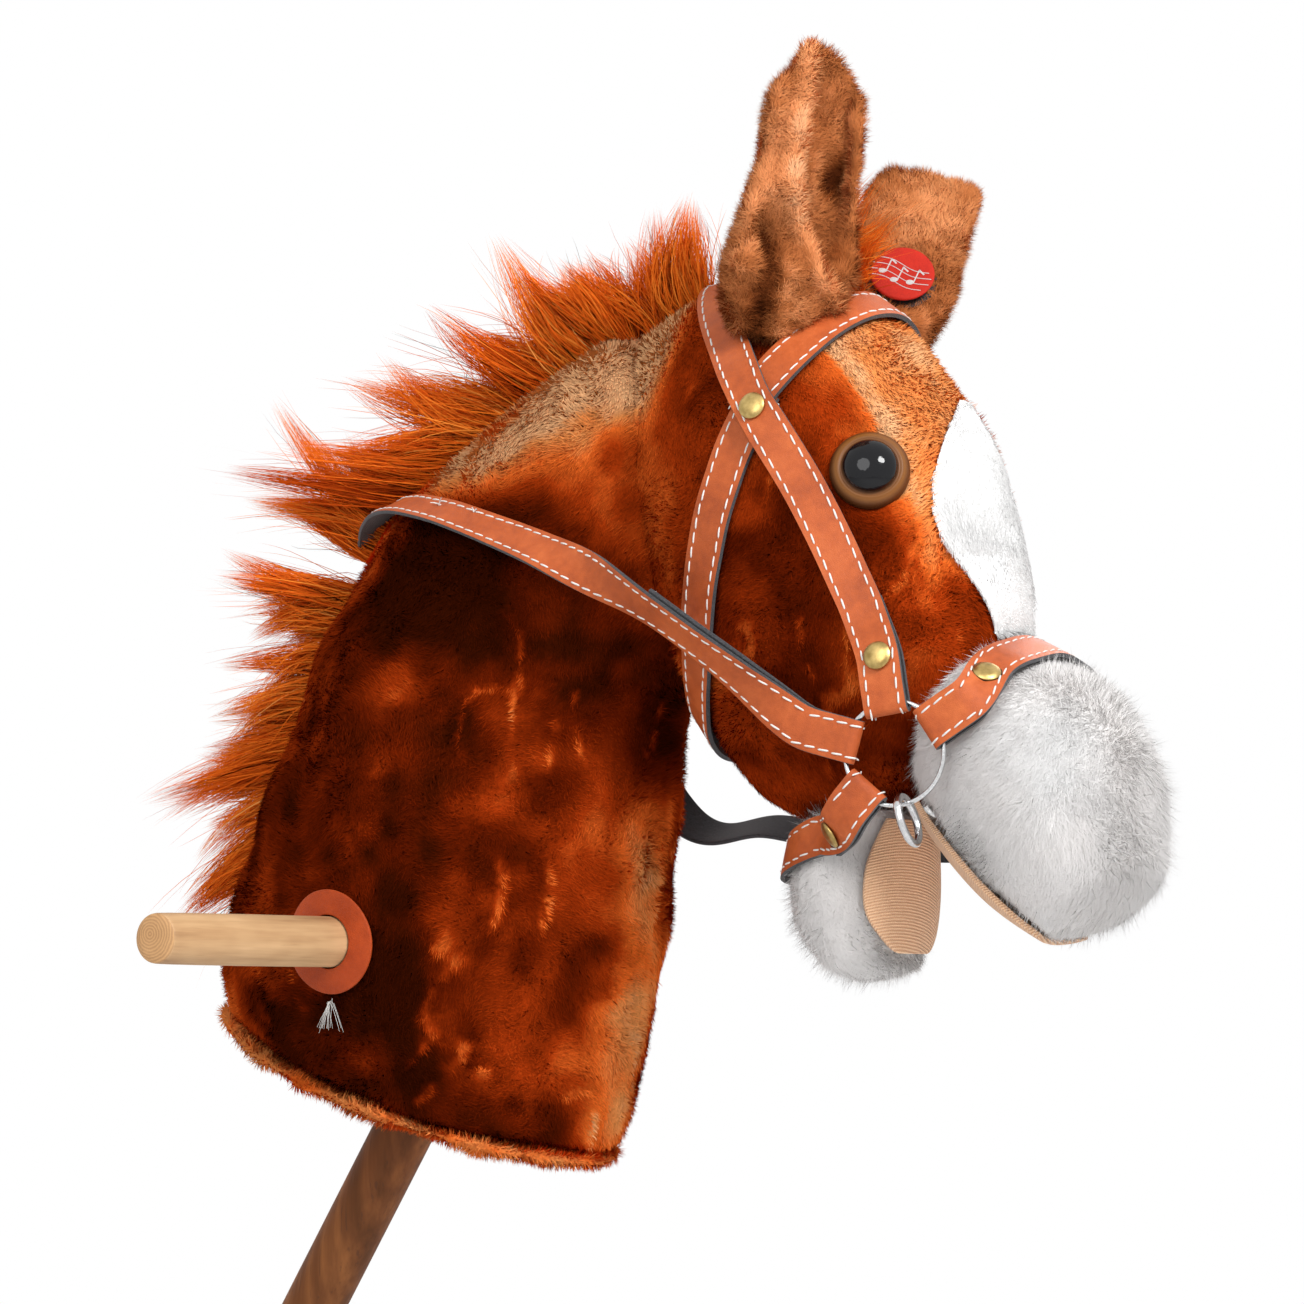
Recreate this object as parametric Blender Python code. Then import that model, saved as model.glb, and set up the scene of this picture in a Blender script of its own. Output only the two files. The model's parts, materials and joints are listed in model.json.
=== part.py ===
"""A hobby horse: a stuffed plush head and neck on a wooden pole, with a crossing handle dowel, a
leatherette bridle with wire rings and brass rivets, and a sound unit with a button in the left ear.

Metres, +Z up, +X the way the horse looks, +Y its left side. The origin is the middle of the pole's
lower end, where the pole meets the ground. The pole leans, as it does between a rider's legs."""

import math

import bmesh
import bpy
from mathutils import Matrix, Vector
from mathutils.bvhtree import BVHTree

for old in list(bpy.data.objects):
    bpy.data.objects.remove(old, do_unlink=True)

MM = 0.001
GAP = 0.3 * MM

# Pole, its end cap and the handle
POLE_TILT = math.radians(32)
POLE_RADIUS = 12.5 * MM
POLE_LENGTH = 800 * MM
CAP_WALL = 2.2 * MM
CAP_FLOOR = 5 * MM
CAP_HEIGHT = 28 * MM
SEAT_UP = 560 * MM
HANDLE_RADIUS = 10.2 * MM
HANDLE_LENGTH = 332 * MM
HANDLE_TO_RIGHT = 20 * MM
HANDLE_END_ROUND = 3 * MM
HANDLE_ABOVE_SEAT = 80 * MM
SADDLE_DEPTH = 0.6 * MM
SCREW_RADIUS = 2 * MM
SCREW_HEAD_RADIUS = 4 * MM
SCREW_HEAD_HEIGHT = 2.6 * MM
SCREW_SINK = 1 * MM
SCREW_IN_POLE = 14 * MM
PATCH_RADIUS = 21 * MM
PATCH_THICKNESS = 1.2 * MM

# Skin pieces laid on the stuffed forms
PANEL_THICKNESS = 2.5 * MM
PANEL_GAP = 0.6 * MM
BASE_PANEL_THICKNESS = 7 * MM
BASE_SAG = 5 * MM

# Eyes
EYE_RADIUS = 15.5 * MM
EYE_HEIGHT = 8.5 * MM
EYE_SINK = 2.6 * MM
EYE_SHANK_RADIUS = 3 * MM
EYE_SHANK_LENGTH = 20 * MM
WASHER_RADIUS = 9 * MM
WASHER_THICKNESS = 1.6 * MM
WASHER_DEPTH = 12 * MM

# Bridle
STRAP_WIDTH = 16.5 * MM
STRAP_THICKNESS = 1.8 * MM
LAYER_GAP = 0.6 * MM
STRAP_LIFT = 0.8 * MM
REIN_LIFT = 4.2 * MM
RING_RADIUS = 19.2 * MM
RING_WIRE = 0.9 * MM
RING_YAW = math.radians(10)
RING_SLOT = 1.25 * MM
SMALL_RING_RADIUS = 9 * MM
SMALL_RING_WIRE = 1.5 * MM
TAIL_LENGTH = 28 * MM
CHIN_TAIL_LENGTH = 22 * MM
REIN_TAIL_LENGTH = 84 * MM
REIN_ANGLE = 164
RIVET_RADIUS = 5.6 * MM
RIVET_DOME = 2.4 * MM
RIVET_EDGE = 0.8 * MM
RIVET_SHANK = 1.6 * MM
RIVET_BURR = 3.2 * MM
RIVET_BURR_THICKNESS = 0.8 * MM

# Sound unit in the left ear
UNIT_RADIUS = 14 * MM
UNIT_WALL = 1.4 * MM
UNIT_BASE_HEIGHT = 13 * MM
UNIT_COVER_HEIGHT = 5.2 * MM
UNIT_ALONG_EAR = 38 * MM
BUTTON_TRAVEL = 1.5 * MM
BUTTON_RADIUS = 11 * MM
BUTTON_STEM_RADIUS = 5 * MM
BUTTON_FLANGE_RADIUS = 6.6 * MM
BUTTON_FACE = 1.5 * MM
BADGE_RADIUS = 13 * MM
BADGE_THICKNESS = 1.3 * MM
SPEAKER_RADIUS = 10 * MM
SPEAKER_HEIGHT = 3.4 * MM
CELL_RADIUS = 3.9 * MM
CELL_HEIGHT = 3.4 * MM
BOARD_RADIUS = 12.1 * MM
BOARD_THICKNESS = 1.0 * MM
SWITCH_SIDE = 4.5 * MM
SWITCH_HEIGHT = 0.9 * MM

POLE_AXIS = Vector((math.sin(POLE_TILT), 0, math.cos(POLE_TILT)))
POLE_BACK = Vector((-math.cos(POLE_TILT), 0, math.sin(POLE_TILT)))
SEAT = POLE_AXIS * SEAT_UP
LEFT = Vector((0, 1, 0))


def at(x, z, y=0.0):
    """A point given in mm from the place where the pole leaves the neck."""
    return SEAT + Vector((x, y, z)) * MM


# Materials


def material(name, colour, roughness, metallic=0.0):
    made = bpy.data.materials.new(name)
    made.use_nodes = True
    shader = made.node_tree.nodes["Principled BSDF"]
    shader.inputs["Base Color"].default_value = (*colour, 1)
    shader.inputs["Roughness"].default_value = roughness
    shader.inputs["Metallic"].default_value = metallic
    return made


POLE_WOOD = material("pole_wood", (0.30, 0.16, 0.08), 0.45)
PALE_WOOD = material("pale_wood", (0.72, 0.50, 0.27), 0.5)
RUBBER = material("rubber", (0.03, 0.03, 0.03), 0.7)
STEEL = material("steel", (0.6, 0.6, 0.6), 0.3, 1.0)
VINYL = material("vinyl", (0.40, 0.10, 0.03), 0.5)
BROWN_PLUSH = material("brown_plush", (0.30, 0.07, 0.015), 0.9)
TAN_PLUSH = material("tan_plush", (0.45, 0.18, 0.06), 0.9)
WHITE_PLUSH = material("white_plush", (0.85, 0.84, 0.82), 0.9)
LINING = material("mouth_lining", (0.70, 0.45, 0.27), 0.85)
PILE = material("mane_pile", (0.75, 0.17, 0.02), 0.8)
EYE_PLASTIC = material("eye_plastic", (0.02, 0.01, 0.008), 0.08)
NATURAL_PLASTIC = material("natural_plastic", (0.75, 0.75, 0.72), 0.4)
LEATHERETTE = material("leatherette", (0.48, 0.13, 0.04), 0.5)
BRASS = material("brass", (0.55, 0.38, 0.13), 0.3, 1.0)
CHROME = material("chrome", (0.75, 0.75, 0.76), 0.12, 1.0)
RED_FELT = material("red_felt", (0.75, 0.06, 0.03), 0.6)
UNIT_PLASTIC = material("unit_plastic", (0.08, 0.08, 0.08), 0.4)
BOARD_GREEN = material("board_green", (0.02, 0.22, 0.08), 0.4)
CELL_STEEL = material("cell_steel", (0.7, 0.7, 0.72), 0.25, 1.0)


# Making objects


def finish(name, bm, made_of, place=None):
    """Turns a bmesh into an object, with its faces out and its round sides smooth."""
    bmesh.ops.recalc_face_normals(bm, faces=bm.faces)
    mesh = bpy.data.meshes.new(name)
    bm.to_mesh(mesh)
    bm.free()
    mesh.shade_smooth()
    mesh.set_sharp_from_angle(angle=math.radians(40))
    mesh.materials.append(made_of)
    made = bpy.data.objects.new(name, mesh)
    bpy.context.scene.collection.objects.link(made)
    if place is not None:
        made.matrix_world = place
    return made


def placed(origin, z_axis, x_hint=LEFT):
    """The matrix of a piece whose own Z runs along z_axis."""
    z = z_axis.normalized()
    x = (x_hint - z * x_hint.dot(z)).normalized()
    turn = Matrix((x, z.cross(x), z)).transposed().to_4x4()
    return Matrix.Translation(origin) @ turn


def turned(name, profile, made_of, place, segments=20, hoop=False):
    """A piece turned round its own Z from (radius, height) pairs. A hoop's profile closes on itself."""
    bm = bmesh.new()
    rings = []
    for radius, height in profile:
        count = segments if radius > 0 else 1
        turns = [2 * math.pi * k / segments for k in range(count)]
        rings.append(
            [bm.verts.new((radius * math.cos(a), radius * math.sin(a), height)) for a in turns]
        )
    pairs = list(zip(rings, rings[1:]))
    if hoop:
        pairs.append((rings[-1], rings[0]))
    for low, high in pairs:
        for k in range(segments):
            corners = [low[k % len(low)], low[(k + 1) % len(low)]]
            corners += [high[(k + 1) % len(high)], high[k % len(high)]]
            bm.faces.new(list(dict.fromkeys(corners)))
    return finish(name, bm, made_of, place)


def cutter(name, source, grow):
    """A hidden copy of a piece, grown along its normals, that leaves a gap where it cuts."""
    mesh = source.data.copy()
    mesh.name = name
    moved = [v.co + v.normal * grow for v in mesh.vertices]
    for vertex, place in zip(mesh.vertices, moved):
        vertex.co = place
    made = bpy.data.objects.new(name, mesh)
    bpy.context.scene.collection.objects.link(made)
    made.matrix_world = source.matrix_world
    made.hide_render = True
    made.display_type = "WIRE"
    return made


def cut(target, tools, overlapping=False):
    """Cuts each tool's shape out of the target."""
    for tool in tools:
        boolean = target.modifiers.new(tool.name, "BOOLEAN")
        boolean.operation = "DIFFERENCE"
        boolean.object = tool
        boolean.use_self = overlapping


def smooth(values, s):
    """Runs smoothly through a list of equally long tuples. s counts from 0 at the first."""
    last = len(values) - 1
    s = min(max(s, 0), last)
    i = min(int(s), last - 1)
    t = s - i
    b, c = values[i], values[i + 1]
    a = values[i - 1] if i > 0 else [2 * p - q for p, q in zip(b, c)]
    d = values[i + 2] if i + 2 <= last else [2 * q - p for p, q in zip(b, c)]
    return [
        0.5 * (2 * q + (r - p) * t + (2 * p - 5 * q + 4 * r - w) * t**2 + (3 * q - p - 3 * r + w) * t**3)
        for p, q, r, w in zip(a, b, c, d)
    ]


# Stuffed forms


class Stuffed:
    """A swelling stuffed form. Each section is (back x, back z, front x, front z, half width) in mm,
    the middle plane's two points and the thickness to each side. s counts sections from 0, and the
    rounded ends reach from s = -1 to one past the last. An angle of 0 is the front, 180 the back,
    and positive angles are on the horse's left."""

    def __init__(self, sections, first_end, last_end, sag=0):
        self.sections = sections
        self.last = len(sections) - 1
        self.ends = (first_end, last_end)
        self.sag = sag

    def drop(self, s, degrees):
        """How the sides of the first section hang below its front and back."""
        across = self.sections[0]
        down = LEFT.cross(at(across[2], across[3]) - at(across[0], across[1])).normalized()
        down = down if down.z < 0 else -down
        fade = max(0, 1 - max(s, 0) / 2)
        return down * (self.sag * math.sin(math.radians(degrees)) ** 2 * fade * fade)

    def point(self, s, degrees):
        inner = min(max(s, 0), self.last)
        back_x, back_z, front_x, front_z, half = smooth(self.sections, inner)
        back, front = at(back_x, back_z), at(front_x, front_z)
        middle, reach = (back + front) / 2, (front - back) / 2
        beyond = s - inner
        shrink = math.cos(beyond * math.pi / 2)
        if beyond:
            step = 0.05 if beyond < 0 else -0.05
            near = smooth(self.sections, inner + step)
            onward = middle - (at(near[0], near[1]) + at(near[2], near[3])) / 2
            onward -= reach * (onward.dot(reach) / reach.length_squared)
            depth = self.ends[0 if beyond < 0 else 1]
            middle = middle + onward.normalized() * depth * abs(math.sin(beyond * math.pi / 2))
        turn = math.radians(degrees)
        across = LEFT * (half * MM * math.sin(turn))
        return middle + (reach * math.cos(turn) + across) * shrink + self.drop(s, degrees)

    def normal(self, s, degrees):
        along = self.point(s + 0.02, degrees) - self.point(s - 0.02, degrees)
        around = self.point(s, degrees + 1) - self.point(s, degrees - 1)
        out = around.cross(along).normalized()
        return out if out.dot(self.point(s, degrees) - self.point(s, degrees + 180)) > 0 else -out

    def build(self, name, made_of, around, along):
        bm = bmesh.new()
        stops = [i * self.last / along for i in range(along + 1)]
        if self.ends[0]:
            stops = [-0.72, -0.42, -0.16] + stops
        if self.ends[1]:
            stops += [self.last + part for part in (0.16, 0.42, 0.72)]
        rings = [
            [bm.verts.new(self.point(s, 360 * k / around)) for k in range(around)] for s in stops
        ]
        for low, high in zip(rings, rings[1:]):
            for k in range(around):
                n = (k + 1) % around
                bm.faces.new((low[k], low[n], high[n], high[k]))
        for ring, s in ((rings[0], -1 if self.ends[0] else 0), (rings[-1], self.last + bool(self.ends[1]))):
            tip = (self.point(s, 0) + self.point(s, 180)) / 2 + self.drop(s, 90) * 0.8
            tip = bm.verts.new(tip)
            for k in range(around):
                bm.faces.new((ring[k], ring[(k + 1) % around], tip))
        return finish(name, bm, made_of)


def tree_of(made):
    return BVHTree.FromPolygons(
        [made.matrix_world @ v.co for v in made.data.vertices],
        [list(p.vertices) for p in made.data.polygons],
    )


def sheet_between(name, made_of, lower, upper, closed_round=False):
    """A closed thin piece between two like grids of points."""
    bm = bmesh.new()
    low = [[bm.verts.new(p) for p in row] for row in lower]
    high = [[bm.verts.new(p) for p in row] for row in upper]
    rows, columns = len(low), len(low[0])
    steps = columns if closed_round else columns - 1
    for grid in (low, high):
        for i in range(rows - 1):
            for k in range(steps):
                n = (k + 1) % columns
                bm.faces.new((grid[i][k], grid[i][n], grid[i + 1][n], grid[i + 1][k]))
    for i in (0, rows - 1):
        for k in range(steps):
            n = (k + 1) % columns
            bm.faces.new((low[i][k], low[i][n], high[i][n], high[i][k]))
    if not closed_round:
        for k in (0, columns - 1):
            for i in range(rows - 1):
                bm.faces.new((low[i][k], low[i + 1][k], high[i + 1][k], high[i][k]))
    bmesh.ops.triangulate(bm, faces=bm.faces, quad_method="SHORT_EDGE")
    return finish(name, bm, made_of)


def panel_on(name, made_of, form, s_range, middle, spread, thickness, rows=10, columns=6):
    """A sewn skin panel on a stuffed form, from s_range[0] to s_range[1], round the angle middle.
    spread gives its half angles in degrees, equally spaced along it."""
    lower, normals = [], []
    for i in range(rows + 1):
        share = i / rows
        s = s_range[0] + (s_range[1] - s_range[0]) * share
        (half,) = smooth([(w,) for w in spread], share * (len(spread) - 1))
        angles = [middle + half * (2 * k / columns - 1) for k in range(columns + 1)]
        lower.append([lift(form.point(s, a), PANEL_GAP) for a in angles])
        normals.append([form.normal(s, a) * thickness for a in angles])
    lower = settle(lower, [PANEL_GAP] * (rows + 1))
    upper = [[p + n for p, n in zip(points, outs)] for points, outs in zip(lower, normals)]
    return sheet_between(name, made_of, lower, upper)


# Neck, head, muzzle and jaw, in mm from the place where the pole leaves the neck

NECK = Stuffed(
    [
        (-79, 58, 100, -5, 60),
        (-79, 77, 111, 24, 74),
        (-66, 108, 118, 75, 81),
        (-47, 160, 128, 130, 76),
        (-24, 215, 133, 170, 66),
        (5, 257, 150, 190, 56),
        (54, 296, 169, 213, 49),
        (106, 323, 188, 240, 42),
    ],
    0,
    18 * MM,
    BASE_SAG,
)
HEAD = Stuffed(
    [
        (140, 215, 128, 324, 42),
        (150, 177, 161, 338, 52),
        (161, 157, 201, 338, 58),
        (173, 140, 238, 320, 60),
        (185, 129, 263, 287, 58),
        (203, 123, 278, 250, 53),
        (223, 125, 286, 215, 47),
        (243, 132, 288, 192, 42),
    ],
    20 * MM,
    10 * MM,
)
MUZZLE = Stuffed(
    [
        (251, 137, 289, 193, 43),
        (259, 122, 309, 183, 48),
        (271, 106, 331, 167, 51),
        (287, 91, 344, 141, 49),
        (304, 80, 345, 113, 39),
    ],
    8 * MM,
    9 * MM,
)
JAW = Stuffed(
    [
        (200, 130, 246, 127, 29),
        (195, 109, 245, 107, 35),
        (196, 89, 244, 89, 36),
        (206, 73, 241, 72, 30),
    ],
    8 * MM,
    9 * MM,
)

neck = NECK.build("neck", BROWN_PLUSH, 26, 13)
head = HEAD.build("head", BROWN_PLUSH, 24, 13)
upper_muzzle = MUZZLE.build("upper_muzzle", WHITE_PLUSH, 20, 8)
lower_jaw = JAW.build("lower_jaw", WHITE_PLUSH, 16, 6)
BODIES = [tree_of(made) for made in (neck, head, upper_muzzle, lower_jaw)]

cut(head, [cutter("neck_in_head", neck, GAP * 1.3)])
cut(upper_muzzle, [cutter("head_in_muzzle", head, GAP * 1.3)])
jaw_room = cutter("head_in_jaw", head, GAP * 1.3)
cut(lower_jaw, [jaw_room])


def lift(point, clear):
    """Moves a point out until it is at least this far from every stuffed form."""
    for tree in BODIES:
        place, out, _, distance = tree.find_nearest(point)
        if (point - place).dot(out) < 0:
            distance = -distance
        if distance < clear:
            point = place + out * clear
    return point


def settle(rows, clearances):
    """Moves the rows of a thin piece out where a cell's middle or an edge's middle comes closer to
    the stuffed forms than the clearance. A clearance of None leaves its row's cells alone."""
    cells = [((0, 0), (0, 1), (1, 0), (1, 1)), ((0, 0), (1, 0)), ((0, 1), (1, 1)), ((0, 0), (0, 1))]
    for _ in range(3):
        for i in range(len(rows) - 1):
            if None in clearances[i : i + 2]:
                continue
            clear = min(clearances[i : i + 2])
            for k in range(len(rows[0]) - 1):
                for cell in cells:
                    middle = sum((rows[i + a][k + b] for a, b in cell), Vector()) / len(cell)
                    shift = lift(middle, clear) - middle
                    if shift.length > 0:
                        for a, b in cell:
                            rows[i + a][k + b] = rows[i + a][k + b] + shift
    return rows


def onto(point, centre):
    """Where a line from just outside a guide point towards a centre meets the stuffed forms."""
    way = (centre - point).normalized()
    start = point - way * 25 * MM
    hits = [tree.ray_cast(start, way) for tree in BODIES]
    hits = [(hit[3], hit[0]) for hit in hits if hit[0] is not None]
    return min(hits)[1]


blaze = panel_on(
    "blaze_panel", WHITE_PLUSH, HEAD, (4.05, 6.98), 0, (3, 30, 40, 36, 29, 24, 22), PANEL_THICKNESS
)
upper_lining = panel_on(
    "upper_mouth_lining", LINING, MUZZLE, (0.75, 4.1), 180, (40, 44, 42, 30), PANEL_THICKNESS, 8, 6
)
lower_lining = panel_on(
    "lower_mouth_lining", LINING, JAW, (0.1, 2.85), 0, (38, 48, 50, 46, 24), PANEL_THICKNESS, 7, 6
)
cut(upper_lining, [cutter("head_in_lining", head, GAP * 1.3)])


def base_ring(down, share):
    """The rim of the neck's bottom, moved down off it and drawn in to a share of its size, and the
    lowest point of the dome inside it."""
    middle = (NECK.point(0, 0) + NECK.point(0, 180)) / 2
    hang = NECK.drop(0, 90)
    ring = [NECK.point(0, 360 * k / 26) for k in range(26)]
    drop = hang.normalized() * down
    return [middle + (p - middle) * share + drop for p in ring], middle + hang * 0.8 + drop


def neck_base_panel():
    """The sewn bottom panel of the neck, a dish with a rolled edge."""
    bm = bmesh.new()
    thick = BASE_PANEL_THICKNESS
    rings = []
    for down, share in ((2 * GAP, 0.99), (thick * 0.3, 1.03), (thick * 0.7, 1.02), (thick, 0.94)):
        rings.append([bm.verts.new(p) for p in base_ring(down, share)[0]])
    for low, high in zip(rings, rings[1:]):
        for k in range(26):
            n = (k + 1) % 26
            bm.faces.new((low[k], low[n], high[n], high[k]))
    for ring, down in ((rings[0], 2 * GAP), (rings[-1], thick)):
        tip = bm.verts.new(base_ring(down, 1)[1])
        for k in range(26):
            bm.faces.new((ring[k], ring[(k + 1) % 26], tip))
    return finish("neck_base_panel", bm, BROWN_PLUSH)


base_panel = neck_base_panel()


# Pole, cap, handle and screw

ALONG_POLE = placed(Vector((0, 0, 0)), POLE_AXIS)


def rod(radius, low, high):
    return [(0, low), (radius, low), (radius, high), (0, high)]


pole = turned("pole", rod(POLE_RADIUS, CAP_FLOOR + GAP, POLE_LENGTH), POLE_WOOD, ALONG_POLE, 28)
cap_radius = POLE_RADIUS + GAP + CAP_WALL
pole_cap = turned(
    "pole_end_cap",
    [
        (0, 0),
        (cap_radius - 3 * MM, 0),
        (cap_radius, 3 * MM),
        (cap_radius, CAP_HEIGHT - 1 * MM),
        (cap_radius - 1 * MM, CAP_HEIGHT),
        (POLE_RADIUS + GAP, CAP_HEIGHT),
        (POLE_RADIUS + GAP, CAP_FLOOR),
        (0, CAP_FLOOR),
    ],
    RUBBER,
    ALONG_POLE,
    24,
)
handle_offset = POLE_RADIUS + HANDLE_RADIUS - SADDLE_DEPTH
handle_middle = POLE_AXIS * (SEAT_UP + HANDLE_ABOVE_SEAT) + POLE_BACK * handle_offset
ALONG_HANDLE = placed(handle_middle, LEFT, POLE_BACK)


def dowel_profile(radius, half, corner):
    turn = [math.radians(a) for a in (0, 45, 90)]
    low = [(radius - corner + corner * math.sin(a), -half + corner - corner * math.cos(a)) for a in turn]
    return [(0, -half)] + low + [(r, -h) for r, h in reversed(low)] + [(0, half)]


handle = turned(
    "handle_dowel",
    dowel_profile(HANDLE_RADIUS, HANDLE_LENGTH / 2, HANDLE_END_ROUND),
    PALE_WOOD,
    placed(handle_middle - LEFT * HANDLE_TO_RIGHT, LEFT, POLE_BACK),
    24,
)
screw_top = handle_middle + POLE_BACK * (HANDLE_RADIUS - SCREW_SINK)
screw_reach = screw_top - (POLE_AXIS * (SEAT_UP + HANDLE_ABOVE_SEAT) + POLE_BACK * POLE_RADIUS)
screw_length = screw_reach.length + SCREW_IN_POLE
screw = turned(
    "handle_screw",
    [
        (0, -screw_length),
        (SCREW_RADIUS, -screw_length + 2 * SCREW_RADIUS),
        (SCREW_RADIUS, -SCREW_HEAD_HEIGHT),
        (SCREW_HEAD_RADIUS, -0.4 * MM),
        (SCREW_HEAD_RADIUS, 0),
        (0, 0),
    ],
    STEEL,
    placed(screw_top, POLE_BACK),
    12,
)
pole_room = turned(
    "pole_room", rod(POLE_RADIUS + GAP, 0, POLE_LENGTH + GAP), POLE_WOOD, ALONG_POLE, 28
)
handle_room = turned(
    "handle_room", rod(HANDLE_RADIUS + GAP, -HANDLE_LENGTH, HANDLE_LENGTH), PALE_WOOD, ALONG_HANDLE, 24
)
screw_room = turned(
    "screw_room",
    [
        (0, -screw_length - GAP),
        (SCREW_RADIUS + GAP, -screw_length - GAP),
        (SCREW_RADIUS + GAP, -SCREW_HEAD_HEIGHT - GAP),
        (SCREW_HEAD_RADIUS + GAP, -0.4 * MM - GAP),
        (SCREW_HEAD_RADIUS + GAP, SCREW_SINK + GAP),
        (0, SCREW_SINK + GAP),
    ],
    STEEL,
    placed(screw_top, POLE_BACK),
    12,
)
for tool in (pole_room, handle_room, screw_room):
    tool.hide_render = True
    tool.display_type = "WIRE"
cut(pole, [handle_room, screw_room])
cut(handle, [screw_room])
cut(neck, [pole_room, handle_room, screw_room])
cut(head, [pole_room])
cut(base_panel, [pole_room])


FAR_OUT = 0.3  # well outside the stuffed forms, where rays start


def handle_patch(name, side):
    """The round vinyl patch that finishes the hole where the dowel leaves the neck."""
    out = LEFT * side
    inner = HANDLE_RADIUS + 2 * GAP
    lower, upper = [], []
    for share in (0, 0.5, 1):
        radius = inner + (PATCH_RADIUS - inner) * share
        ring = []
        for k in range(20):
            turn = 2 * math.pi * k / 20
            aside = POLE_AXIS * (radius * math.cos(turn)) + POLE_BACK * (radius * math.sin(turn))
            ring.append(BODIES[0].ray_cast(handle_middle + aside + out * FAR_OUT, -out)[0])
        lower.append([p + out * PANEL_GAP for p in ring])
        upper.append([p + out * (PANEL_GAP + PATCH_THICKNESS) for p in ring])
    return sheet_between(name, VINYL, lower, upper, closed_round=True)


for name, side in (("handle_patch_right", -1), ("handle_patch_left", 1)):
    handle_patch(name, side)


# Eyes, each with a shank through the skin and a lock washer behind it

EYE_AT = (250, 255)


def eye(name, side):
    """One eye with its washer, and the room in the head for both."""
    start = at(*EYE_AT) + LEFT * side * FAR_OUT
    place, out, _, _ = BODIES[1].ray_cast(start, -LEFT * side)
    seat = placed(place - out * EYE_SINK, out)
    dome = [(0, EYE_HEIGHT)]
    for a in (24, 48, 72):
        turn = math.radians(a)
        dome.append((EYE_RADIUS * math.sin(turn), 1.6 * MM + (EYE_HEIGHT - 1.6 * MM) * math.cos(turn)))
    shank = [(EYE_RADIUS, 1.6 * MM), (EYE_RADIUS, 0), (EYE_SHANK_RADIUS, 0)]
    shank += [(EYE_SHANK_RADIUS, -EYE_SHANK_LENGTH), (0, -EYE_SHANK_LENGTH)]
    turned("eye_" + name, (dome + shank)[::-1], EYE_PLASTIC, seat, 20)
    inner = EYE_SHANK_RADIUS + GAP
    low, high = -WASHER_DEPTH - WASHER_THICKNESS, -WASHER_DEPTH
    loop = [(inner, low), (WASHER_RADIUS, low), (WASHER_RADIUS, high), (inner, high)]
    turned("eye_washer_" + name, loop, NATURAL_PLASTIC, seat, 12, hoop=True)
    room = [
        (0, -EYE_SHANK_LENGTH - GAP),
        (inner, -EYE_SHANK_LENGTH - GAP),
        (inner, low - GAP),
        (WASHER_RADIUS + GAP, low - GAP),
        (WASHER_RADIUS + GAP, high + GAP),
        (inner, high + GAP),
        (inner, -GAP),
        (EYE_RADIUS + GAP, -GAP),
        (EYE_RADIUS + GAP, EYE_HEIGHT),
        (0, EYE_HEIGHT),
    ]
    tool = turned("eye_room_" + name, room, EYE_PLASTIC, seat, 20)
    tool.hide_render = True
    tool.display_type = "WIRE"
    cut(head, [tool])


for name, side in (("right", -1), ("left", 1)):
    eye(name, side)


# Ears


class Ear:
    """A curled leaf. Each section is (along, half width, half thickness, curl) in mm, and the curl
    brings its edges forward. facing is the way its hollow looks."""

    def __init__(self, root, tip_way, facing, sections, end):
        self.along = tip_way.normalized()
        self.facing = (facing - self.along * facing.dot(self.along)).normalized()
        self.across = self.along.cross(self.facing)
        self.root, self.sections, self.end = root, sections, end

    def point(self, s, degrees):
        last = len(self.sections) - 1
        inner = min(max(s, 0), last)
        up, half, thick, curl = smooth(self.sections, inner)
        beyond = s - inner
        shrink = math.cos(beyond * math.pi / 2)
        up += self.end * math.sin(beyond * math.pi / 2)
        turn = math.radians(degrees)
        v = math.cos(turn)
        aside = half * v * shrink
        forward = (thick * math.sin(turn) + curl * v * v) * shrink
        return self.root + (self.along * up + self.across * aside + self.facing * forward) * MM

    def build(self, name, made_of, around=16, along=7):
        bm = bmesh.new()
        last = len(self.sections) - 1
        stops = [i * last / along for i in range(along + 1)] + [last + part for part in (0.3, 0.62)]
        rings = [
            [bm.verts.new(self.point(s, 360 * k / around)) for k in range(around)] for s in stops
        ]
        for low, high in zip(rings, rings[1:]):
            for k in range(around):
                n = (k + 1) % around
                bm.faces.new((low[k], low[n], high[n], high[k]))
        bm.faces.new(rings[0])
        middle = sum((v.co for v in rings[-1]), Vector()) / around
        tip = bm.verts.new(middle + self.along * self.end * 0.3 * MM)
        for k in range(around):
            bm.faces.new((rings[-1][k], rings[-1][(k + 1) % around], tip))
        return finish(name, bm, made_of)


RIGHT_EAR = Ear(
    at(201, 309, -34),
    Vector((0.27, -0.11, 0.96)),
    Vector((0.80, -0.55, -0.25)),
    [
        (0, 18, 13, 1),
        (16, 28, 18, 3),
        (36, 29, 16, 6),
        (57, 25, 12, 10),
        (76, 21.5, 10, 11),
        (94, 20.5, 9, 9),
        (107, 13, 7, 4),
    ],
    8,
)
LEFT_EAR = Ear(
    at(208, 306, 34),
    Vector((0.03, 0.50, 0.86)),
    Vector((0.47, -0.72, 0.5)),
    [
        (0, 15, 11, 1),
        (18, 19.5, 12, 2),
        (42, 21.5, 12, 2),
        (62, 21, 11, 3),
        (78, 20, 8, 3),
        (89, 17, 5, 2),
    ],
    4,
)
ear_right = RIGHT_EAR.build("ear_right", TAN_PLUSH)
ear_left = LEFT_EAR.build("ear_left", TAN_PLUSH)
ear_seat = cutter("head_in_ears", head, GAP * 1.3)
ear_seat.modifiers.clear()
for ear in (ear_right, ear_left):
    cut(ear, [ear_seat])


# Sound unit, stacked along its own Z from the ear's middle to its face

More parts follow.
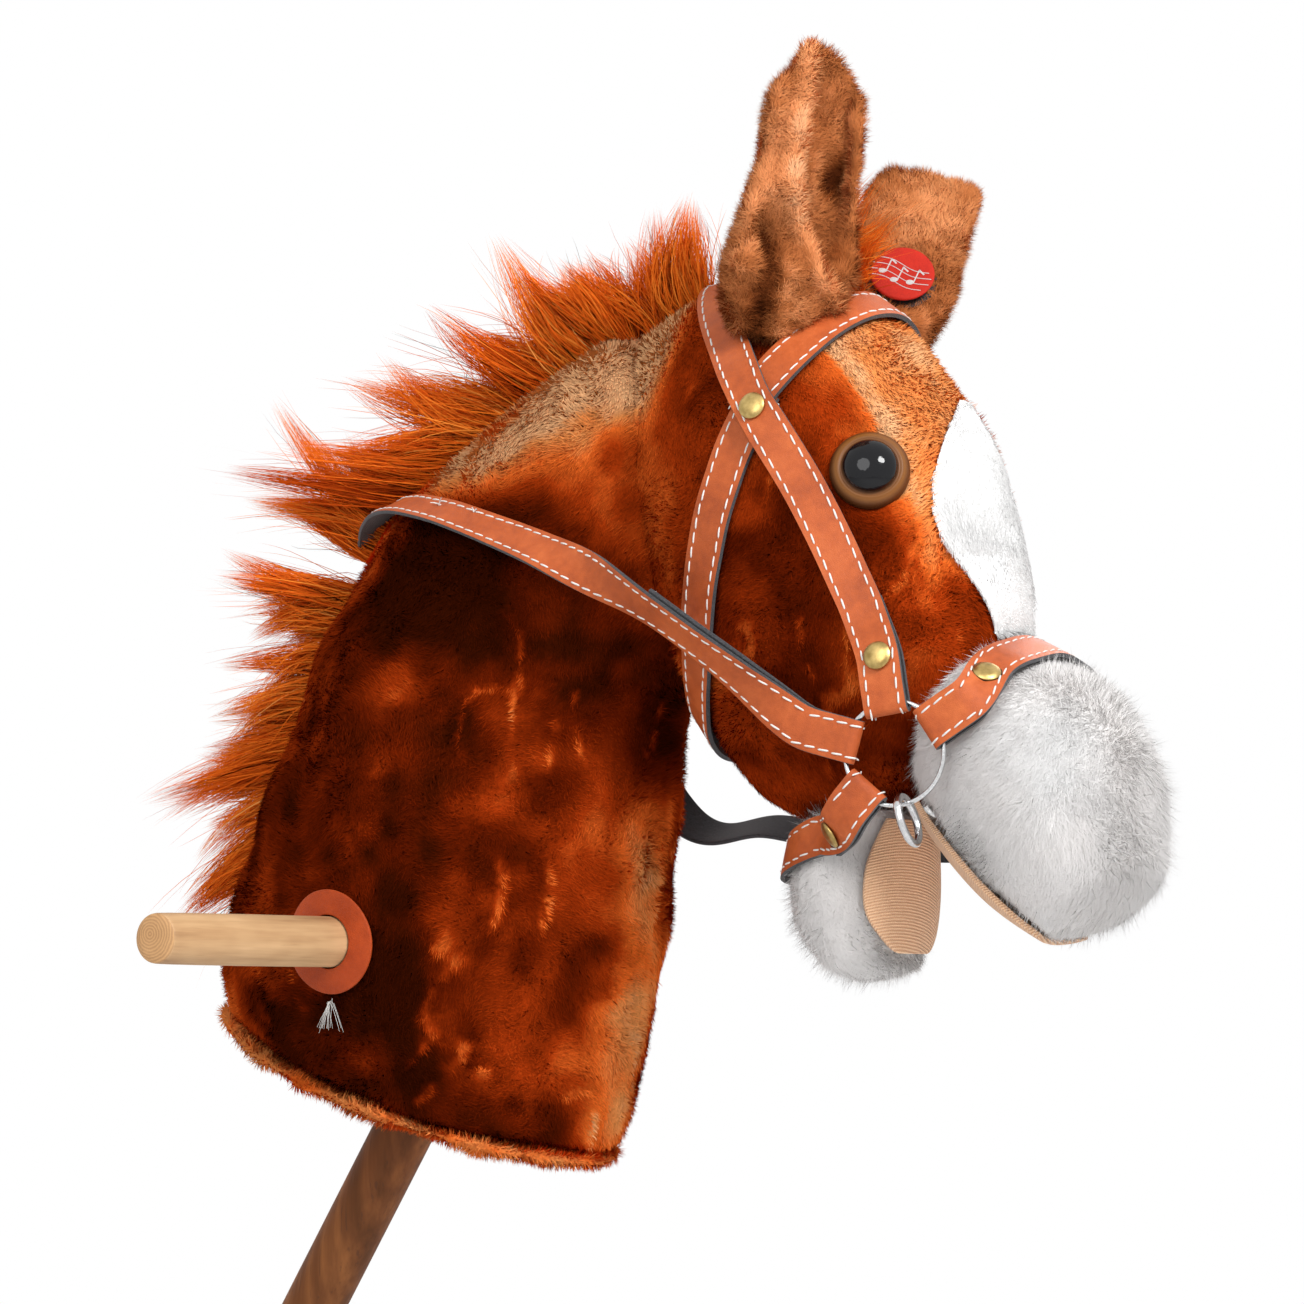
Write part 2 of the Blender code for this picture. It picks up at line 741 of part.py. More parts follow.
unit_middle = LEFT_EAR.root + LEFT_EAR.along * UNIT_ALONG_EAR
UNIT = placed(unit_middle, LEFT_EAR.facing, LEFT_EAR.along)
base_low = -7 * MM
base_top = base_low + UNIT_BASE_HEIGHT
cover_top = base_top + GAP + UNIT_COVER_HEIGHT
inside = UNIT_RADIUS - UNIT_WALL
turned(
    "sound_housing_base",
    [
        (0, base_low),
        (UNIT_RADIUS, base_low),
        (UNIT_RADIUS, base_top),
        (inside, base_top),
        (inside, base_low + UNIT_WALL),
        (0, base_low + UNIT_WALL),
    ],
    UNIT_PLASTIC,
    UNIT,
)
cover_plate = cover_top - UNIT_WALL
turned(
    "sound_housing_cover",
    [
        (UNIT_RADIUS, base_top + GAP),
        (UNIT_RADIUS, cover_top),
        (BUTTON_STEM_RADIUS + GAP, cover_top),
        (BUTTON_STEM_RADIUS + GAP, cover_plate),
        (inside, cover_plate),
        (inside, base_top + GAP),
    ],
    UNIT_PLASTIC,
    UNIT,
    hoop=True,
)
flange_top = cover_plate - GAP
flange_low = flange_top - 1.2 * MM
disc_low = cover_top + BUTTON_TRAVEL + GAP
disc_top = disc_low + BUTTON_FACE
turned(
    "sound_button",
    [
        (0, flange_low),
        (BUTTON_FLANGE_RADIUS, flange_low),
        (BUTTON_FLANGE_RADIUS, flange_top),
        (BUTTON_STEM_RADIUS, flange_top),
        (BUTTON_STEM_RADIUS, disc_low),
        (BUTTON_RADIUS, disc_low),
        (BUTTON_RADIUS, disc_top),
        (0, disc_top),
    ],
    NATURAL_PLASTIC,
    UNIT,
)
badge_low = disc_top + GAP
turned(
    "button_patch",
    [
        (0, badge_low),
        (BADGE_RADIUS, badge_low),
        (BADGE_RADIUS, badge_low + BADGE_THICKNESS * 0.6),
        (BADGE_RADIUS - 0.8 * MM, badge_low + BADGE_THICKNESS),
        (0, badge_low + BADGE_THICKNESS),
    ],
    RED_FELT,
    UNIT,
    28,
)
speaker_low = base_low + UNIT_WALL + GAP
turned(
    "speaker",
    [
        (0, speaker_low),
        (SPEAKER_RADIUS * 0.45, speaker_low),
        (SPEAKER_RADIUS * 0.5, speaker_low + 0.6 * MM),
        (SPEAKER_RADIUS - 1 * MM, speaker_low + 0.6 * MM),
        (SPEAKER_RADIUS - 1 * MM, speaker_low),
        (SPEAKER_RADIUS, speaker_low),
        (SPEAKER_RADIUS, speaker_low + SPEAKER_HEIGHT * 0.5),
        (SPEAKER_RADIUS * 0.6, speaker_low + SPEAKER_HEIGHT * 0.6),
        (SPEAKER_RADIUS * 0.55, speaker_low + SPEAKER_HEIGHT),
        (0, speaker_low + SPEAKER_HEIGHT),
    ],
    STEEL,
    UNIT,
    20,
)
cell_low = speaker_low + SPEAKER_HEIGHT + GAP
for number in range(3):
    turn = Matrix.Rotation(math.radians(120 * number), 3, "Z")
    aside = Matrix.Translation(turn @ Vector(((CELL_RADIUS + GAP) * 2 / 3**0.5, 0, 0)))
    turned(
        f"button_cell_{number + 1}",
        [
            (0, cell_low),
            (CELL_RADIUS * 0.8, cell_low),
            (CELL_RADIUS * 0.85, cell_low + 0.4 * MM),
            (CELL_RADIUS, cell_low + 0.5 * MM),
            (CELL_RADIUS, cell_low + CELL_HEIGHT),
            (0, cell_low + CELL_HEIGHT),
        ],
        CELL_STEEL,
        UNIT @ aside,
        16,
    )
board_low = cell_low + CELL_HEIGHT + GAP
turned(
    "circuit_board", rod(BOARD_RADIUS, board_low, board_low + BOARD_THICKNESS), BOARD_GREEN, UNIT, 24
)
switch_low = board_low + BOARD_THICKNESS + GAP
bm = bmesh.new()
bmesh.ops.create_cube(bm, size=1)
bmesh.ops.scale(bm, vec=(SWITCH_SIDE, SWITCH_SIDE, SWITCH_HEIGHT), verts=bm.verts)
bmesh.ops.translate(bm, vec=(0, 0, switch_low + SWITCH_HEIGHT / 2), verts=bm.verts)
finish("tact_switch", bm, UNIT_PLASTIC, UNIT)
unit_room = turned(
    "unit_room",
    [
        (0, base_low - GAP),
        (UNIT_RADIUS + GAP, base_low - GAP),
        (UNIT_RADIUS + GAP, cover_top + GAP),
        (BADGE_RADIUS + GAP, cover_top + GAP),
        (BADGE_RADIUS + GAP, badge_low + 20 * MM),
        (0, badge_low + 20 * MM),
    ],
    UNIT_PLASTIC,
    UNIT,
)
unit_room.hide_render = True
unit_room.display_type = "WIRE"
cut(ear_left, [unit_room])


# Mane and forelock: locks of long pile on a ridge along the crest


def crest(s):
    """The crest line. s up to 7 counts the neck's sections, and 8 is on the head behind the ears."""
    if s <= 7:
        return NECK.point(s, 180)
    return NECK.point(7, 180).lerp(HEAD.point(1, 0), s - 7)


def tube(bm, middles, sizes, sides=8):
    """A tapering tube along points of the middle plane. sizes are (half height, half width) in mm."""
    rings = []
    for i, middle in enumerate(middles):
        ahead = middles[min(i + 1, len(middles) - 1)] - middles[max(i - 1, 0)]
        across = (LEFT - ahead.normalized() * ahead.normalized().dot(LEFT)).normalized()
        out = ahead.cross(across).normalized()
        height, width = sizes[i]
        ring = []
        for k in range(sides):
            turn = 2 * math.pi * (k + 0.5) / sides
            offset = out * (height * math.cos(turn)) + across * (width * math.sin(turn))
            ring.append(bm.verts.new(middle + offset * MM))
        rings.append(ring)
    for low, high in zip(rings, rings[1:]):
        for k in range(sides):
            n = (k + 1) % sides
            bm.faces.new((low[k], low[n], high[n], high[k]))
    bm.faces.new(rings[0])
    bm.faces.new(rings[-1])


def mane(name, ridge_range, ridge_size, locks):
    """locks are (place on the crest, tip x, tip y, tip z, half length of its root, half width)."""
    bm = bmesh.new()
    steps = 6
    spine = [
        crest(ridge_range[0] + (ridge_range[1] - ridge_range[0]) * i / steps) for i in range(steps + 1)
    ]
    ends = (0.55, 1, 1, 1, 1, 1, 0.55)
    tube(bm, spine, [(ridge_size[0] * e, ridge_size[1] * e) for e in ends])
    for place, x, y, z, half_root, half_width in locks:
        root, tip = crest(place), at(x, z, y)
        out = (crest(place + 0.05) - crest(place - 0.05)).cross(LEFT).normalized()
        out = out if out.dot(root - at(90, 200)) > 0 else -out
        bow = root + out * (tip - root).length * 0.55
        line = [root.lerp(bow, t).lerp(bow.lerp(tip, t), t) for t in (0, 0.4, 0.75, 1)]
        sizes = [(half_root * w, half_width * w) for w in (1, 0.95, 0.5, 0.08)]
        tube(bm, line, sizes, 6)
    return finish(name, bm, PILE)


mane_upper = mane(
    "mane_upper",
    (5.15, 7.85),
    (8, 14),
    [
        (7.75, 141, -4, 386, 10, 12),
        (7.4, 118, 5, 383, 12, 14),
        (7.1, 82, -6, 380, 13, 15),
        (6.75, 48, 5, 364, 13, 16),
        (6.4, 10, -5, 350, 13, 16),
        (6.0, -28, 4, 333, 13, 16),
        (5.65, -8, -6, 306, 12, 15),
        (5.3, -32, 3, 268, 10, 13),
    ],
)
mane_lower = mane(
    "mane_lower",
    (1.95, 4.2),
    (8, 14),
    [
        (4.1, -92, 4, 228, 10, 13),
        (3.75, -98, -5, 208, 12, 15),
        (3.4, -118, 4, 186, 12, 15),
        (3.05, -113, -5, 166, 12, 15),
        (2.7, -122, 4, 146, 12, 15),
        (2.35, -122, -4, 116, 12, 14),
        (2.05, -103, 3, 101, 9, 12),
    ],
)


def forelock():
    """A short tuft between the ears that falls forward over the browband."""
    bm = bmesh.new()
    root = HEAD.point(1.75, 0)
    tube(bm, [root + LEFT * y * MM for y in (-12, 0, 12)], [(8, 9), (9, 10), (8, 9)])
    for x, y, z in ((238, -9, 346), (246, 3, 340), (236, 13, 348)):
        tip = at(x, z, y)
        start = root + LEFT * (y * 0.6 * MM)
        bow = start + Vector((12, 0, 26)) * MM
        line = [start.lerp(bow, t).lerp(bow.lerp(tip, t), t) for t in (0, 0.35, 0.7, 1)]
        tube(bm, line, [(7, 8), (6, 7), (4, 5), (0.8, 0.8)], 6)
    return finish("forelock", bm, PILE)


tuft = forelock()
body_rooms = [cutter("neck_in_mane", neck, GAP * 1.3), cutter("head_in_mane", head, GAP * 1.3)]
for tool in body_rooms:
    tool.modifiers.clear()
for piece in (mane_upper, mane_lower, tuft):
    cut(piece, body_rooms, overlapping=True)


# Bridle


def ring_plane(side):
    """The middle and outward normal of a cheek ring, laid as close to the cheek as its straps allow."""
    out = Vector((math.sin(RING_YAW), side * math.cos(RING_YAW), 0))
    up = Vector((0, 0, 1))
    ahead = up.cross(out) * -side
    reach = RING_RADIUS + 6 * MM
    centre = at(266, 147, side * 50)
    highest = None
    for k in range(24):
        for share in (0.4, 0.7, 1):
            turn = 2 * math.pi * k / 24
            start = centre + (ahead * math.cos(turn) + up * math.sin(turn)) * reach * share
            for tree in BODIES:
                hit = tree.ray_cast(start + out * 0.1, -out)
                if hit[0] is not None and hit[3] < 0.15:
                    height = hit[0].dot(out)
                    highest = height if highest is None else max(highest, height)
    level = highest + GAP + STRAP_THICKNESS + RING_SLOT
    return centre + out * (level - centre.dot(out)), out, ahead, up


RINGS = {side: ring_plane(side) for side in (-1, 1)}
HALF_LAYERS = RING_SLOT + STRAP_THICKNESS / 2
FOLD_INSIDE = 2.3 * MM
LAYER = STRAP_THICKNESS + LAYER_GAP
FLAT = STRAP_LIFT + STRAP_THICKNESS / 2


def ring_fold(side, degrees):
    """The path of a strap's end round a cheek ring, from the upper layer to the lower one: pairs of
    a point and the width direction, for a strap that leaves the ring on its way out."""
    centre, out, ahead, up = RINGS[side]
    turn = math.radians(degrees)
    away = ahead * math.cos(turn) + up * math.sin(turn)
    width = out.cross(away)
    places = [(RING_RADIUS + 9 * MM, HALF_LAYERS), (RING_RADIUS + 4 * MM, HALF_LAYERS)]
    places += [(RING_RADIUS, HALF_LAYERS), (RING_RADIUS - FOLD_INSIDE, HALF_LAYERS)]
    for a in (50, 0, -50):
        bend = math.radians(a)
        inner = RING_RADIUS - FOLD_INSIDE - HALF_LAYERS * math.cos(bend)
        places.append((inner, HALF_LAYERS * math.sin(bend)))
    places += [(r, -h) for r, h in reversed(places[:4])]
    return [(centre + away * r + out * h, width) for r, h in places]


def ring_leave(side, degrees, inward):
    """The first two points of a strap's upper line as it leaves the ring, bending in to the body."""
    fold = ring_fold(side, degrees)
    start, before = fold[0][0], fold[1][0]
    onward = (start - before).normalized() * 9 * MM - RINGS[side][1] * inward
    return [start, start + onward]


def spline(points, spacing):
    """Points at even steps along a smooth curve through the given ones."""
    fine = [Vector(smooth([tuple(p) for p in points], i / 12)) for i in range(12 * (len(points) - 1) + 1)]
    lengths = [0.0]
    for a, b in zip(fine, fine[1:]):
        lengths.append(lengths[-1] + (b - a).length)
    count = max(2, round(lengths[-1] / spacing))
    made, k = [], 0
    for i in range(count + 1):
        wanted = lengths[-1] * i / count
        while k < len(fine) - 2 and lengths[k + 1] < wanted:
            k += 1
        share = (wanted - lengths[k]) / (lengths[k + 1] - lengths[k])
        made.append(fine[k].lerp(fine[k + 1], share))
    return made


def surface_out(point):
    """The outward direction of the stuffed form nearest to a point."""
    found = [tree.find_nearest(point) for tree in BODIES]
    place, out, _, _ = min(found, key=lambda hit: hit[3])
    return out


def averaged(vectors, rounds):
    for _ in range(rounds):
        inner = [(a + b * 2 + c) / 4 for a, b, c in zip(vectors, vectors[1:], vectors[2:])]
        vectors = [vectors[0]] + inner + [vectors[-1]]
    return vectors


def rows_of(line, wide, clearances):
    """The three points across a strap at each point of its middle line, each at its clearance from
    the stuffed forms. None leaves a row where it is."""
    rows = []
    for i, (point, side) in enumerate(zip(line, wide)):
        ahead = line[min(i + 1, len(line) - 1)] - line[max(i - 1, 0)]
        across = (side - ahead * side.dot(ahead) / ahead.length_squared).normalized()
        row = [point + across * STRAP_WIDTH / 2 * k for k in (-1, 0, 1)]
        if clearances[i] is not None:
            row = [lift(p, clearances[i]) for p in row]
        rows.append(row)
    return settle(rows, clearances)


def strap(name, rows):
    """A flat strap with its middle sheet through the rows."""
    lower, upper = [], []
    for i, row in enumerate(rows):
        ahead = rows[min(i + 1, len(rows) - 1)][1] - rows[max(i - 1, 0)][1]
        out = ahead.cross(row[2] - row[0]).normalized()
        lower.append([p - out * STRAP_THICKNESS / 2 for p in row])
        upper.append([p + out * STRAP_THICKNESS / 2 for p in row])
    return sheet_between(name, LEATHERETTE, lower, upper)


def double_strap(name, upper, normals, clear, degrees, tail):
    """A strap from the right cheek ring to the left one along its upper line. Each end folds round
    its ring and runs back below the strap for the length of its tail. Returns the strap and, for
    each point of its upper line, the place, the outward normal and how far below the tail lies."""
    wide = [width_at(upper, normals, i) for i in range(len(upper))]
    for side, end in ((-1, 0), (1, -1)):
        turn = ring_fold(side, degrees)[0][1] * -side
        shares = [bump((p - upper[end]).length, 2 * MM, 36 * MM) for p in upper]
        wide = [w.lerp(turn, share).normalized() for w, share in zip(wide, shares)]
    rows = rows_of(upper, wide, [None] + clear[1:-1] + [None])
    depths = [0.0] * len(rows)
    ends = {}
    for side in (-1, 1):
        start, turn = ring_fold(side, degrees)[0]
        across = [start + turn * STRAP_WIDTH / 2 * k * -side for k in (-1, 0, 1)]
        rows[0 if side < 0 else -1] = across
        order = list(range(len(upper)))[::-side]
        under, low, gone = [], [], 0.0
        for i, before in zip(order[1:], order):
            gone += (upper[i] - upper[before]).length
            ahead = upper[min(i + 1, len(upper) - 1)] - upper[max(i - 1, 0)]
            down = ahead.cross(rows[i][2] - rows[i][0]).normalized()
            depths[i] = LAYER + (2 * HALF_LAYERS - LAYER) * bump(gone, 6 * MM, 30 * MM)
            under.append(i)
            low.append([p - down * depths[i] for p in rows[i]])
            if gone >= tail:
                break
        raised = settle([[lift(p, FLAT) for p in row] for row in low], [FLAT] * len(low))
        for i, row, moved in zip(under, low, raised):
            rows[i] = [p + q - r for p, q, r in zip(rows[i], moved, row)]
        fold = ring_fold(side, degrees)[1:]
        turned_round = [[p + w * STRAP_WIDTH / 2 * k * -side for k in (-1, 0, 1)] for p, w in fold]
        ends[side] = turned_round + raised
    places = []
    for i, row in enumerate(rows):
        ahead = rows[min(i + 1, len(rows) - 1)][1] - rows[max(i - 1, 0)][1]
        places.append((row[1], ahead.cross(row[2] - row[0]).normalized(), depths[i]))
    return strap(name, ends[-1][::-1] + rows + ends[1]), places


def laid(guides, centre, height, spacing=9 * MM):
    """A strap's middle line over the stuffed forms: the guides are cast on to them, and each point is
    lifted by height(point). Returns points, outward directions and clearances."""
    cast = [onto(guide, centre) for guide in spline(guides, spacing / 2)]
    cast = spline(averaged(cast, 3), spacing)
    outs = averaged([surface_out(p) for p in cast], 4)
    outs = [o.normalized() for o in outs]
    clear = [height(p) for p in cast]
    points = [lift(p + o * c, c) for p, o, c in zip(cast, outs, clear)]
    return averaged(points, 1), outs, clear


def mirrored(points):
    """The guides of the right side and the middle, then those of the left side."""
    return points + [Vector((p.x, -p.y, p.z)) for p in reversed(points[:-1])]


def bump(distance, full, none):
    """1 up to the distance full, 0 from the distance none, and smooth between."""
    t = min(max((distance - full) / (none - full), 0), 1)
    return 1 - t * t * (3 - 2 * t)


def width_at(points, outs, i):
    ahead = points[min(i + 1, len(points) - 1)] - points[max(i - 1, 0)]
    return outs[i].cross(ahead).normalized()


def ringed_strap(name, guides, centre, degrees, tail, layers, inward=1 * MM):
    """A strap from the right cheek ring to the left one. Each end folds round its ring and runs back
    below the strap for the length of its tail."""
    folds = {side: ring_fold(side, degrees) for side in (-1, 1)}

    def height(point):
        near_ring = min((point - folds[side][0][0]).length for side in (-1, 1))
        return FLAT + LAYER * max(bump(near_ring, tail + 4 * MM, tail + 20 * MM), layers(point))

    points, _, _ = laid(guides, centre, height)
    starts = {side: folds[side][0][0] for side in (-1, 1)}
    points = [p for p in points if min((p - starts[s]).length for s in (-1, 1)) > 22 * MM]
    first, last = ring_leave(-1, degrees, inward), ring_leave(1, degrees, inward)
    upper = spline(first + points + last[::-1], 8 * MM)
    normals = []
    for p in upper:
        share = max(bump((p - starts[s]).length, 0, 26 * MM) for s in (-1, 1))
        side = -1 if (p - starts[-1]).length < (p - starts[1]).length else 1
        normals.append(surface_out(p).lerp(RINGS[side][1], share).normalized())
    normals = [n.normalized() for n in averaged(normals, 3)]
    clear = [height(p) for p in upper]
    inner = range(2, len(upper) - 2)
    upper = [lift(p, clear[i]) if i in inner else p for i, p in enumerate(upper)]
    return double_strap(name, upper, normals, clear, degrees, tail)


def none(point):
    return 0.0


BROW_RIVETS = {side: onto(at(206, 284, side * 58), at(200, 240)) for side in (-1, 1)}


def brow_layers(count):
    def layers(point):
        return count * max(bump((point - BROW_RIVETS[s]).length, 15 * MM, 32 * MM) for s in (-1, 1))

    return layers


crown_guides = [
    (266, 170, -50),
    (258, 192, -55),
    (234, 241, -58),
    (206, 284, -55),
    (178, 320, -34),
    (163, 338, 0),
]
crown_strap, crown_places = ringed_strap(
    "crown_strap",
    mirrored([at(*g) for g in crown_guides]),
    at(205, 235),
    99,
    TAIL_LENGTH,
    brow_layers(2),
)
nose_guides = [(281, 158, -46), (292, 172, -36), (299, 184, -18), (301, 189, 0)]
noseband, nose_places = ringed_strap(
    "noseband",
    mirrored([at(*g) for g in nose_guides]),
    at(262, 160),
    33,
    TAIL_LENGTH,
    none,
)
chin_guides = [(222, 117, -40), (206, 112, -24), (197, 109, 0)]
chin_strap, chin_places = ringed_strap(
    "chin_strap",
    mirrored([at(*g) for g in chin_guides]),
    at(228, 122),
    229,
    CHIN_TAIL_LENGTH,
    none,
    5 * MM,
)


def open_strap(name, guides, centre, height):
    """A strap whose two ends lie flat, without a ring."""
    points, outs, clear = laid(guides, centre, height)
    wide = [width_at(points, outs, i) for i in range(len(points))]
    return strap(name, rows_of(points, wide, clear))


def brow_height(layers):
    place = brow_layers(layers)

    def height(point):
        return FLAT + LAYER * place(point)

    return height


brow_guides = [(202.5, 278.5, -56), (206, 284, -55), (217, 303, -42), (225, 315, -20), (228, 319, 0)]
browband = open_strap("browband", mirrored([at(*g) for g in brow_guides]), at(200, 260), brow_height(1))
throat_guides = [
    (208.5, 289.5, -53.5),
    (206, 284, -55),
    (192, 245, -60),
    (182, 208, -58),
    (174, 178, -46),
    (160, 152, -22),
    (155, 146, 0),
]
throatlatch = open_strap(
    "throatlatch", mirrored([at(*g) for g in throat_guides]), at(185, 215), brow_height(0)
)


def rein_turn(point):
    """How strongly the rein's outer face turns down. It stands on edge on its way to the rings."""
    x = (point - SEAT).x
    if point.y < 0:
        return 1.3 * bump(abs(x - 185 * MM), 10 * MM, 75 * MM)
    return 1.6 * bump(abs(x - 140 * MM), 45 * MM, 95 * MM)


def rein():
    """One long strap from the right ring over the crest to the left ring. It lies on the right of
    the neck and hangs lower on the left."""
    route = ring_leave(-1, REIN_ANGLE, 0)
    for x, z, y in (
        (197, 186, -74),
        (148, 216, -70),
        (81, 243, -56),
        (25, 254, -32),
        (-14, 247, 0),
        (2, 236, 34),
        (36, 196, 66),
        (72, 150, 76),
        (104, 126, 72),
        (138, 128, 66),
        (166, 124, 64),
        (200, 130, 62),
    ):
        route.append(at(x, z, y))
    route += ring_leave(1, REIN_ANGLE, 0)[::-1]
    upper = spline(route, 9 * MM)
    outs = []
    for p in upper:
        share = min(max((p - at(220, 200)).x / (at(40, 0) - at(220, 200)).x, 0), 1)
        axis = at(190, 200).lerp(at(60, 150), share)
        axis = Vector((axis.x, 0, min(p.z, axis.z)))
        outs.append((p - axis).normalized())
    outs[0], outs[-1] = RINGS[-1][1], RINGS[1][1]
    outs = [o.normalized() for o in averaged(outs, 6)]
    turns = [rein_turn(p) for p in upper]
    outs = [(o + Vector((0, 0, -1)) * turn).normalized() for o, turn in zip(outs, turns)]
    clear = [REIN_LIFT + LAYER * 0.5 + turn * 4 * MM for turn in turns]
    inner = range(2, len(upper) - 2)
    upper = [lift(p, clear[i]) if i in inner else p for i, p in enumerate(upper)]
    flat = [FLAT] * len(upper)
    return double_strap("rein_strap", upper, outs, flat, REIN_ANGLE, REIN_TAIL_LENGTH)[0]


rein_strap = rein()


# Cheek rings, and the small ring that hangs on each


def wire_loop(radius, wire, sides):
    turns = [2 * math.pi * k / sides for k in range(sides)]
    return [(radius + wire * math.cos(a), wire * math.sin(a)) for a in turns]


HANG_ANGLE = math.radians(286)
for side, word in ((-1, "right"), (1, "left")):
    centre, out, ahead, up = RINGS[side]
    turned(
        f"cheek_ring_{word}",
        wire_loop(RING_RADIUS, RING_WIRE, 6),
        CHROME,
        placed(centre, out, up),
        26,
        hoop=True,
    )
    away = ahead * math.cos(HANG_ANGLE) + up * math.sin(HANG_ANGLE)
    swing = placed(centre + away * RING_RADIUS, out.cross(away), up)
    drop = SMALL_RING_RADIUS - SMALL_RING_WIRE - RING_WIRE - GAP
    small_ring = turned(
        f"bit_ring_{word}",
        wire_loop(SMALL_RING_RADIUS, SMALL_RING_WIRE, 6),
        CHROME,
        swing,
        20,
        hoop=True,
    )
    small_ring.data.transform(Matrix.Translation(swing.to_3x3().inverted() @ up * -drop))


# The ears are squeezed by the straps at their roots, and the forelock lies between them

for piece in (crown_strap, browband):
    room = cutter(piece.name + "_room", piece, GAP)
    for ear in (ear_right, ear_left):
        cut(ear, [room])
for ear in (ear_right, ear_left):
    room = cutter(ear.name + "_room", ear, GAP)
    room.modifiers.clear()
    cut(tuft, [room])


# Rivets


def rivet(name, places, wanted, targets, more_layers=0):
    """A brass rivet through a strap where it comes nearest to the wanted place, through the layer
    below it, or through a number of more layers."""
    top, out, depth = min(places, key=lambda place: (place[0] - wanted).length)
    depth = max(depth, more_layers * LAYER)
    seat = placed(top, out)
    half = STRAP_THICKNESS / 2
    base = half + GAP
    low = -half - depth - GAP
    foot = low - RIVET_BURR_THICKNESS
    profile = [
        (0, foot),
        (RIVET_BURR, foot),
        (RIVET_BURR, low),
        (RIVET_SHANK, low),
        (RIVET_SHANK, base),
        (RIVET_RADIUS, base),
        (RIVET_RADIUS, base + RIVET_EDGE),
        (RIVET_RADIUS * 0.7, base + RIVET_EDGE + (RIVET_DOME - RIVET_EDGE) * 0.7),
        (0, base + RIVET_DOME),
    ]
    turned(name, profile, BRASS, seat, 12)
    bore_profile = [
        (0, foot - GAP),
        (RIVET_BURR + GAP, foot - GAP),
        (RIVET_BURR + GAP, low + GAP / 2),
        (RIVET_SHANK + GAP, low + GAP / 2),
        (RIVET_SHANK + GAP, half + GAP / 5),
        (RIVET_RADIUS + GAP, half + GAP / 5),
        (RIVET_RADIUS + GAP, base + RIVET_DOME + GAP),
        (0, base + RIVET_DOME + GAP),
    ]
    bore = turned(name + "_room", bore_profile, BRASS, seat, 12)
    bore.hide_render = True
    bore.display_type = "WIRE"
    for target in targets:
        cut(target, [bore])


for side, word in ((-1, "right"), (1, "left")):
    layers = [crown_strap, browband, throatlatch, head]
    rivet(f"rivet_brow_{word}", crown_places, BROW_RIVETS[side], layers, 2)
    rivet(f"rivet_cheek_{word}", crown_places, at(260, 185, side * 62), [crown_strap, head])
    nose = at(291, 173, side * 42)
    rivet(f"rivet_nose_{word}", nose_places, nose, [noseband, head, upper_muzzle])
    chin = at(241, 124, side * 50)
    rivet(f"rivet_chin_{word}", chin_places, chin, [chin_strap, lower_jaw, head])
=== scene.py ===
import itertools
import json
import math

import bmesh
import bpy
import numpy as np
from mathutils import Matrix, Vector
from mathutils.bvhtree import BVHTree


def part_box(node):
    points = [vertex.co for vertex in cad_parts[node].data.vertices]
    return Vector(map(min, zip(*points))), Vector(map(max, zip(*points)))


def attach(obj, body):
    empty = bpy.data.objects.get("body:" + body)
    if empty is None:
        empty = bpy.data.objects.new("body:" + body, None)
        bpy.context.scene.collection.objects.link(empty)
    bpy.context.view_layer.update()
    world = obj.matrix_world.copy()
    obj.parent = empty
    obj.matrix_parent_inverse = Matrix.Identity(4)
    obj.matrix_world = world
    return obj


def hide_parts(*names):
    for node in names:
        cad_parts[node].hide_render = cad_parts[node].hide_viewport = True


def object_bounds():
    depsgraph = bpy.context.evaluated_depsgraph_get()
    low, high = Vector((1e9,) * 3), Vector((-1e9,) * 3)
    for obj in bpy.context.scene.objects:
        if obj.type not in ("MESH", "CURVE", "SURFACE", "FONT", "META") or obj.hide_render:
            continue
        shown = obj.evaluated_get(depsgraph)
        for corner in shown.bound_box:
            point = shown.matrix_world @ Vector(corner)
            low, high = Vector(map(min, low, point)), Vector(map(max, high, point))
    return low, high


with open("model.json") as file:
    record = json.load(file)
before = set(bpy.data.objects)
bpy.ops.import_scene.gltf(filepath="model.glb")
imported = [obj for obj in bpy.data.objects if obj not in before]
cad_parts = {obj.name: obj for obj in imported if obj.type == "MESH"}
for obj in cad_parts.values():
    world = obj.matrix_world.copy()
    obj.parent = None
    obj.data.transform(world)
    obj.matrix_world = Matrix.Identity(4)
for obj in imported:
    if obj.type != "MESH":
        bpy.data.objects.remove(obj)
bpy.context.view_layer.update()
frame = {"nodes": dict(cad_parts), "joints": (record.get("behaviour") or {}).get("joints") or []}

# Pole
# A long beech dowel stained brown, between the rider's legs. The grain runs along it, and the stain
# has settled darker in the pores and lighter where hands have rubbed it.


def by_math(operation, turned=False):
    """A method that joins a Field and another value with a Math node. turned changes their places."""
    return lambda one, two: one.combine(operation, *((two, one) if turned else (one, two)))


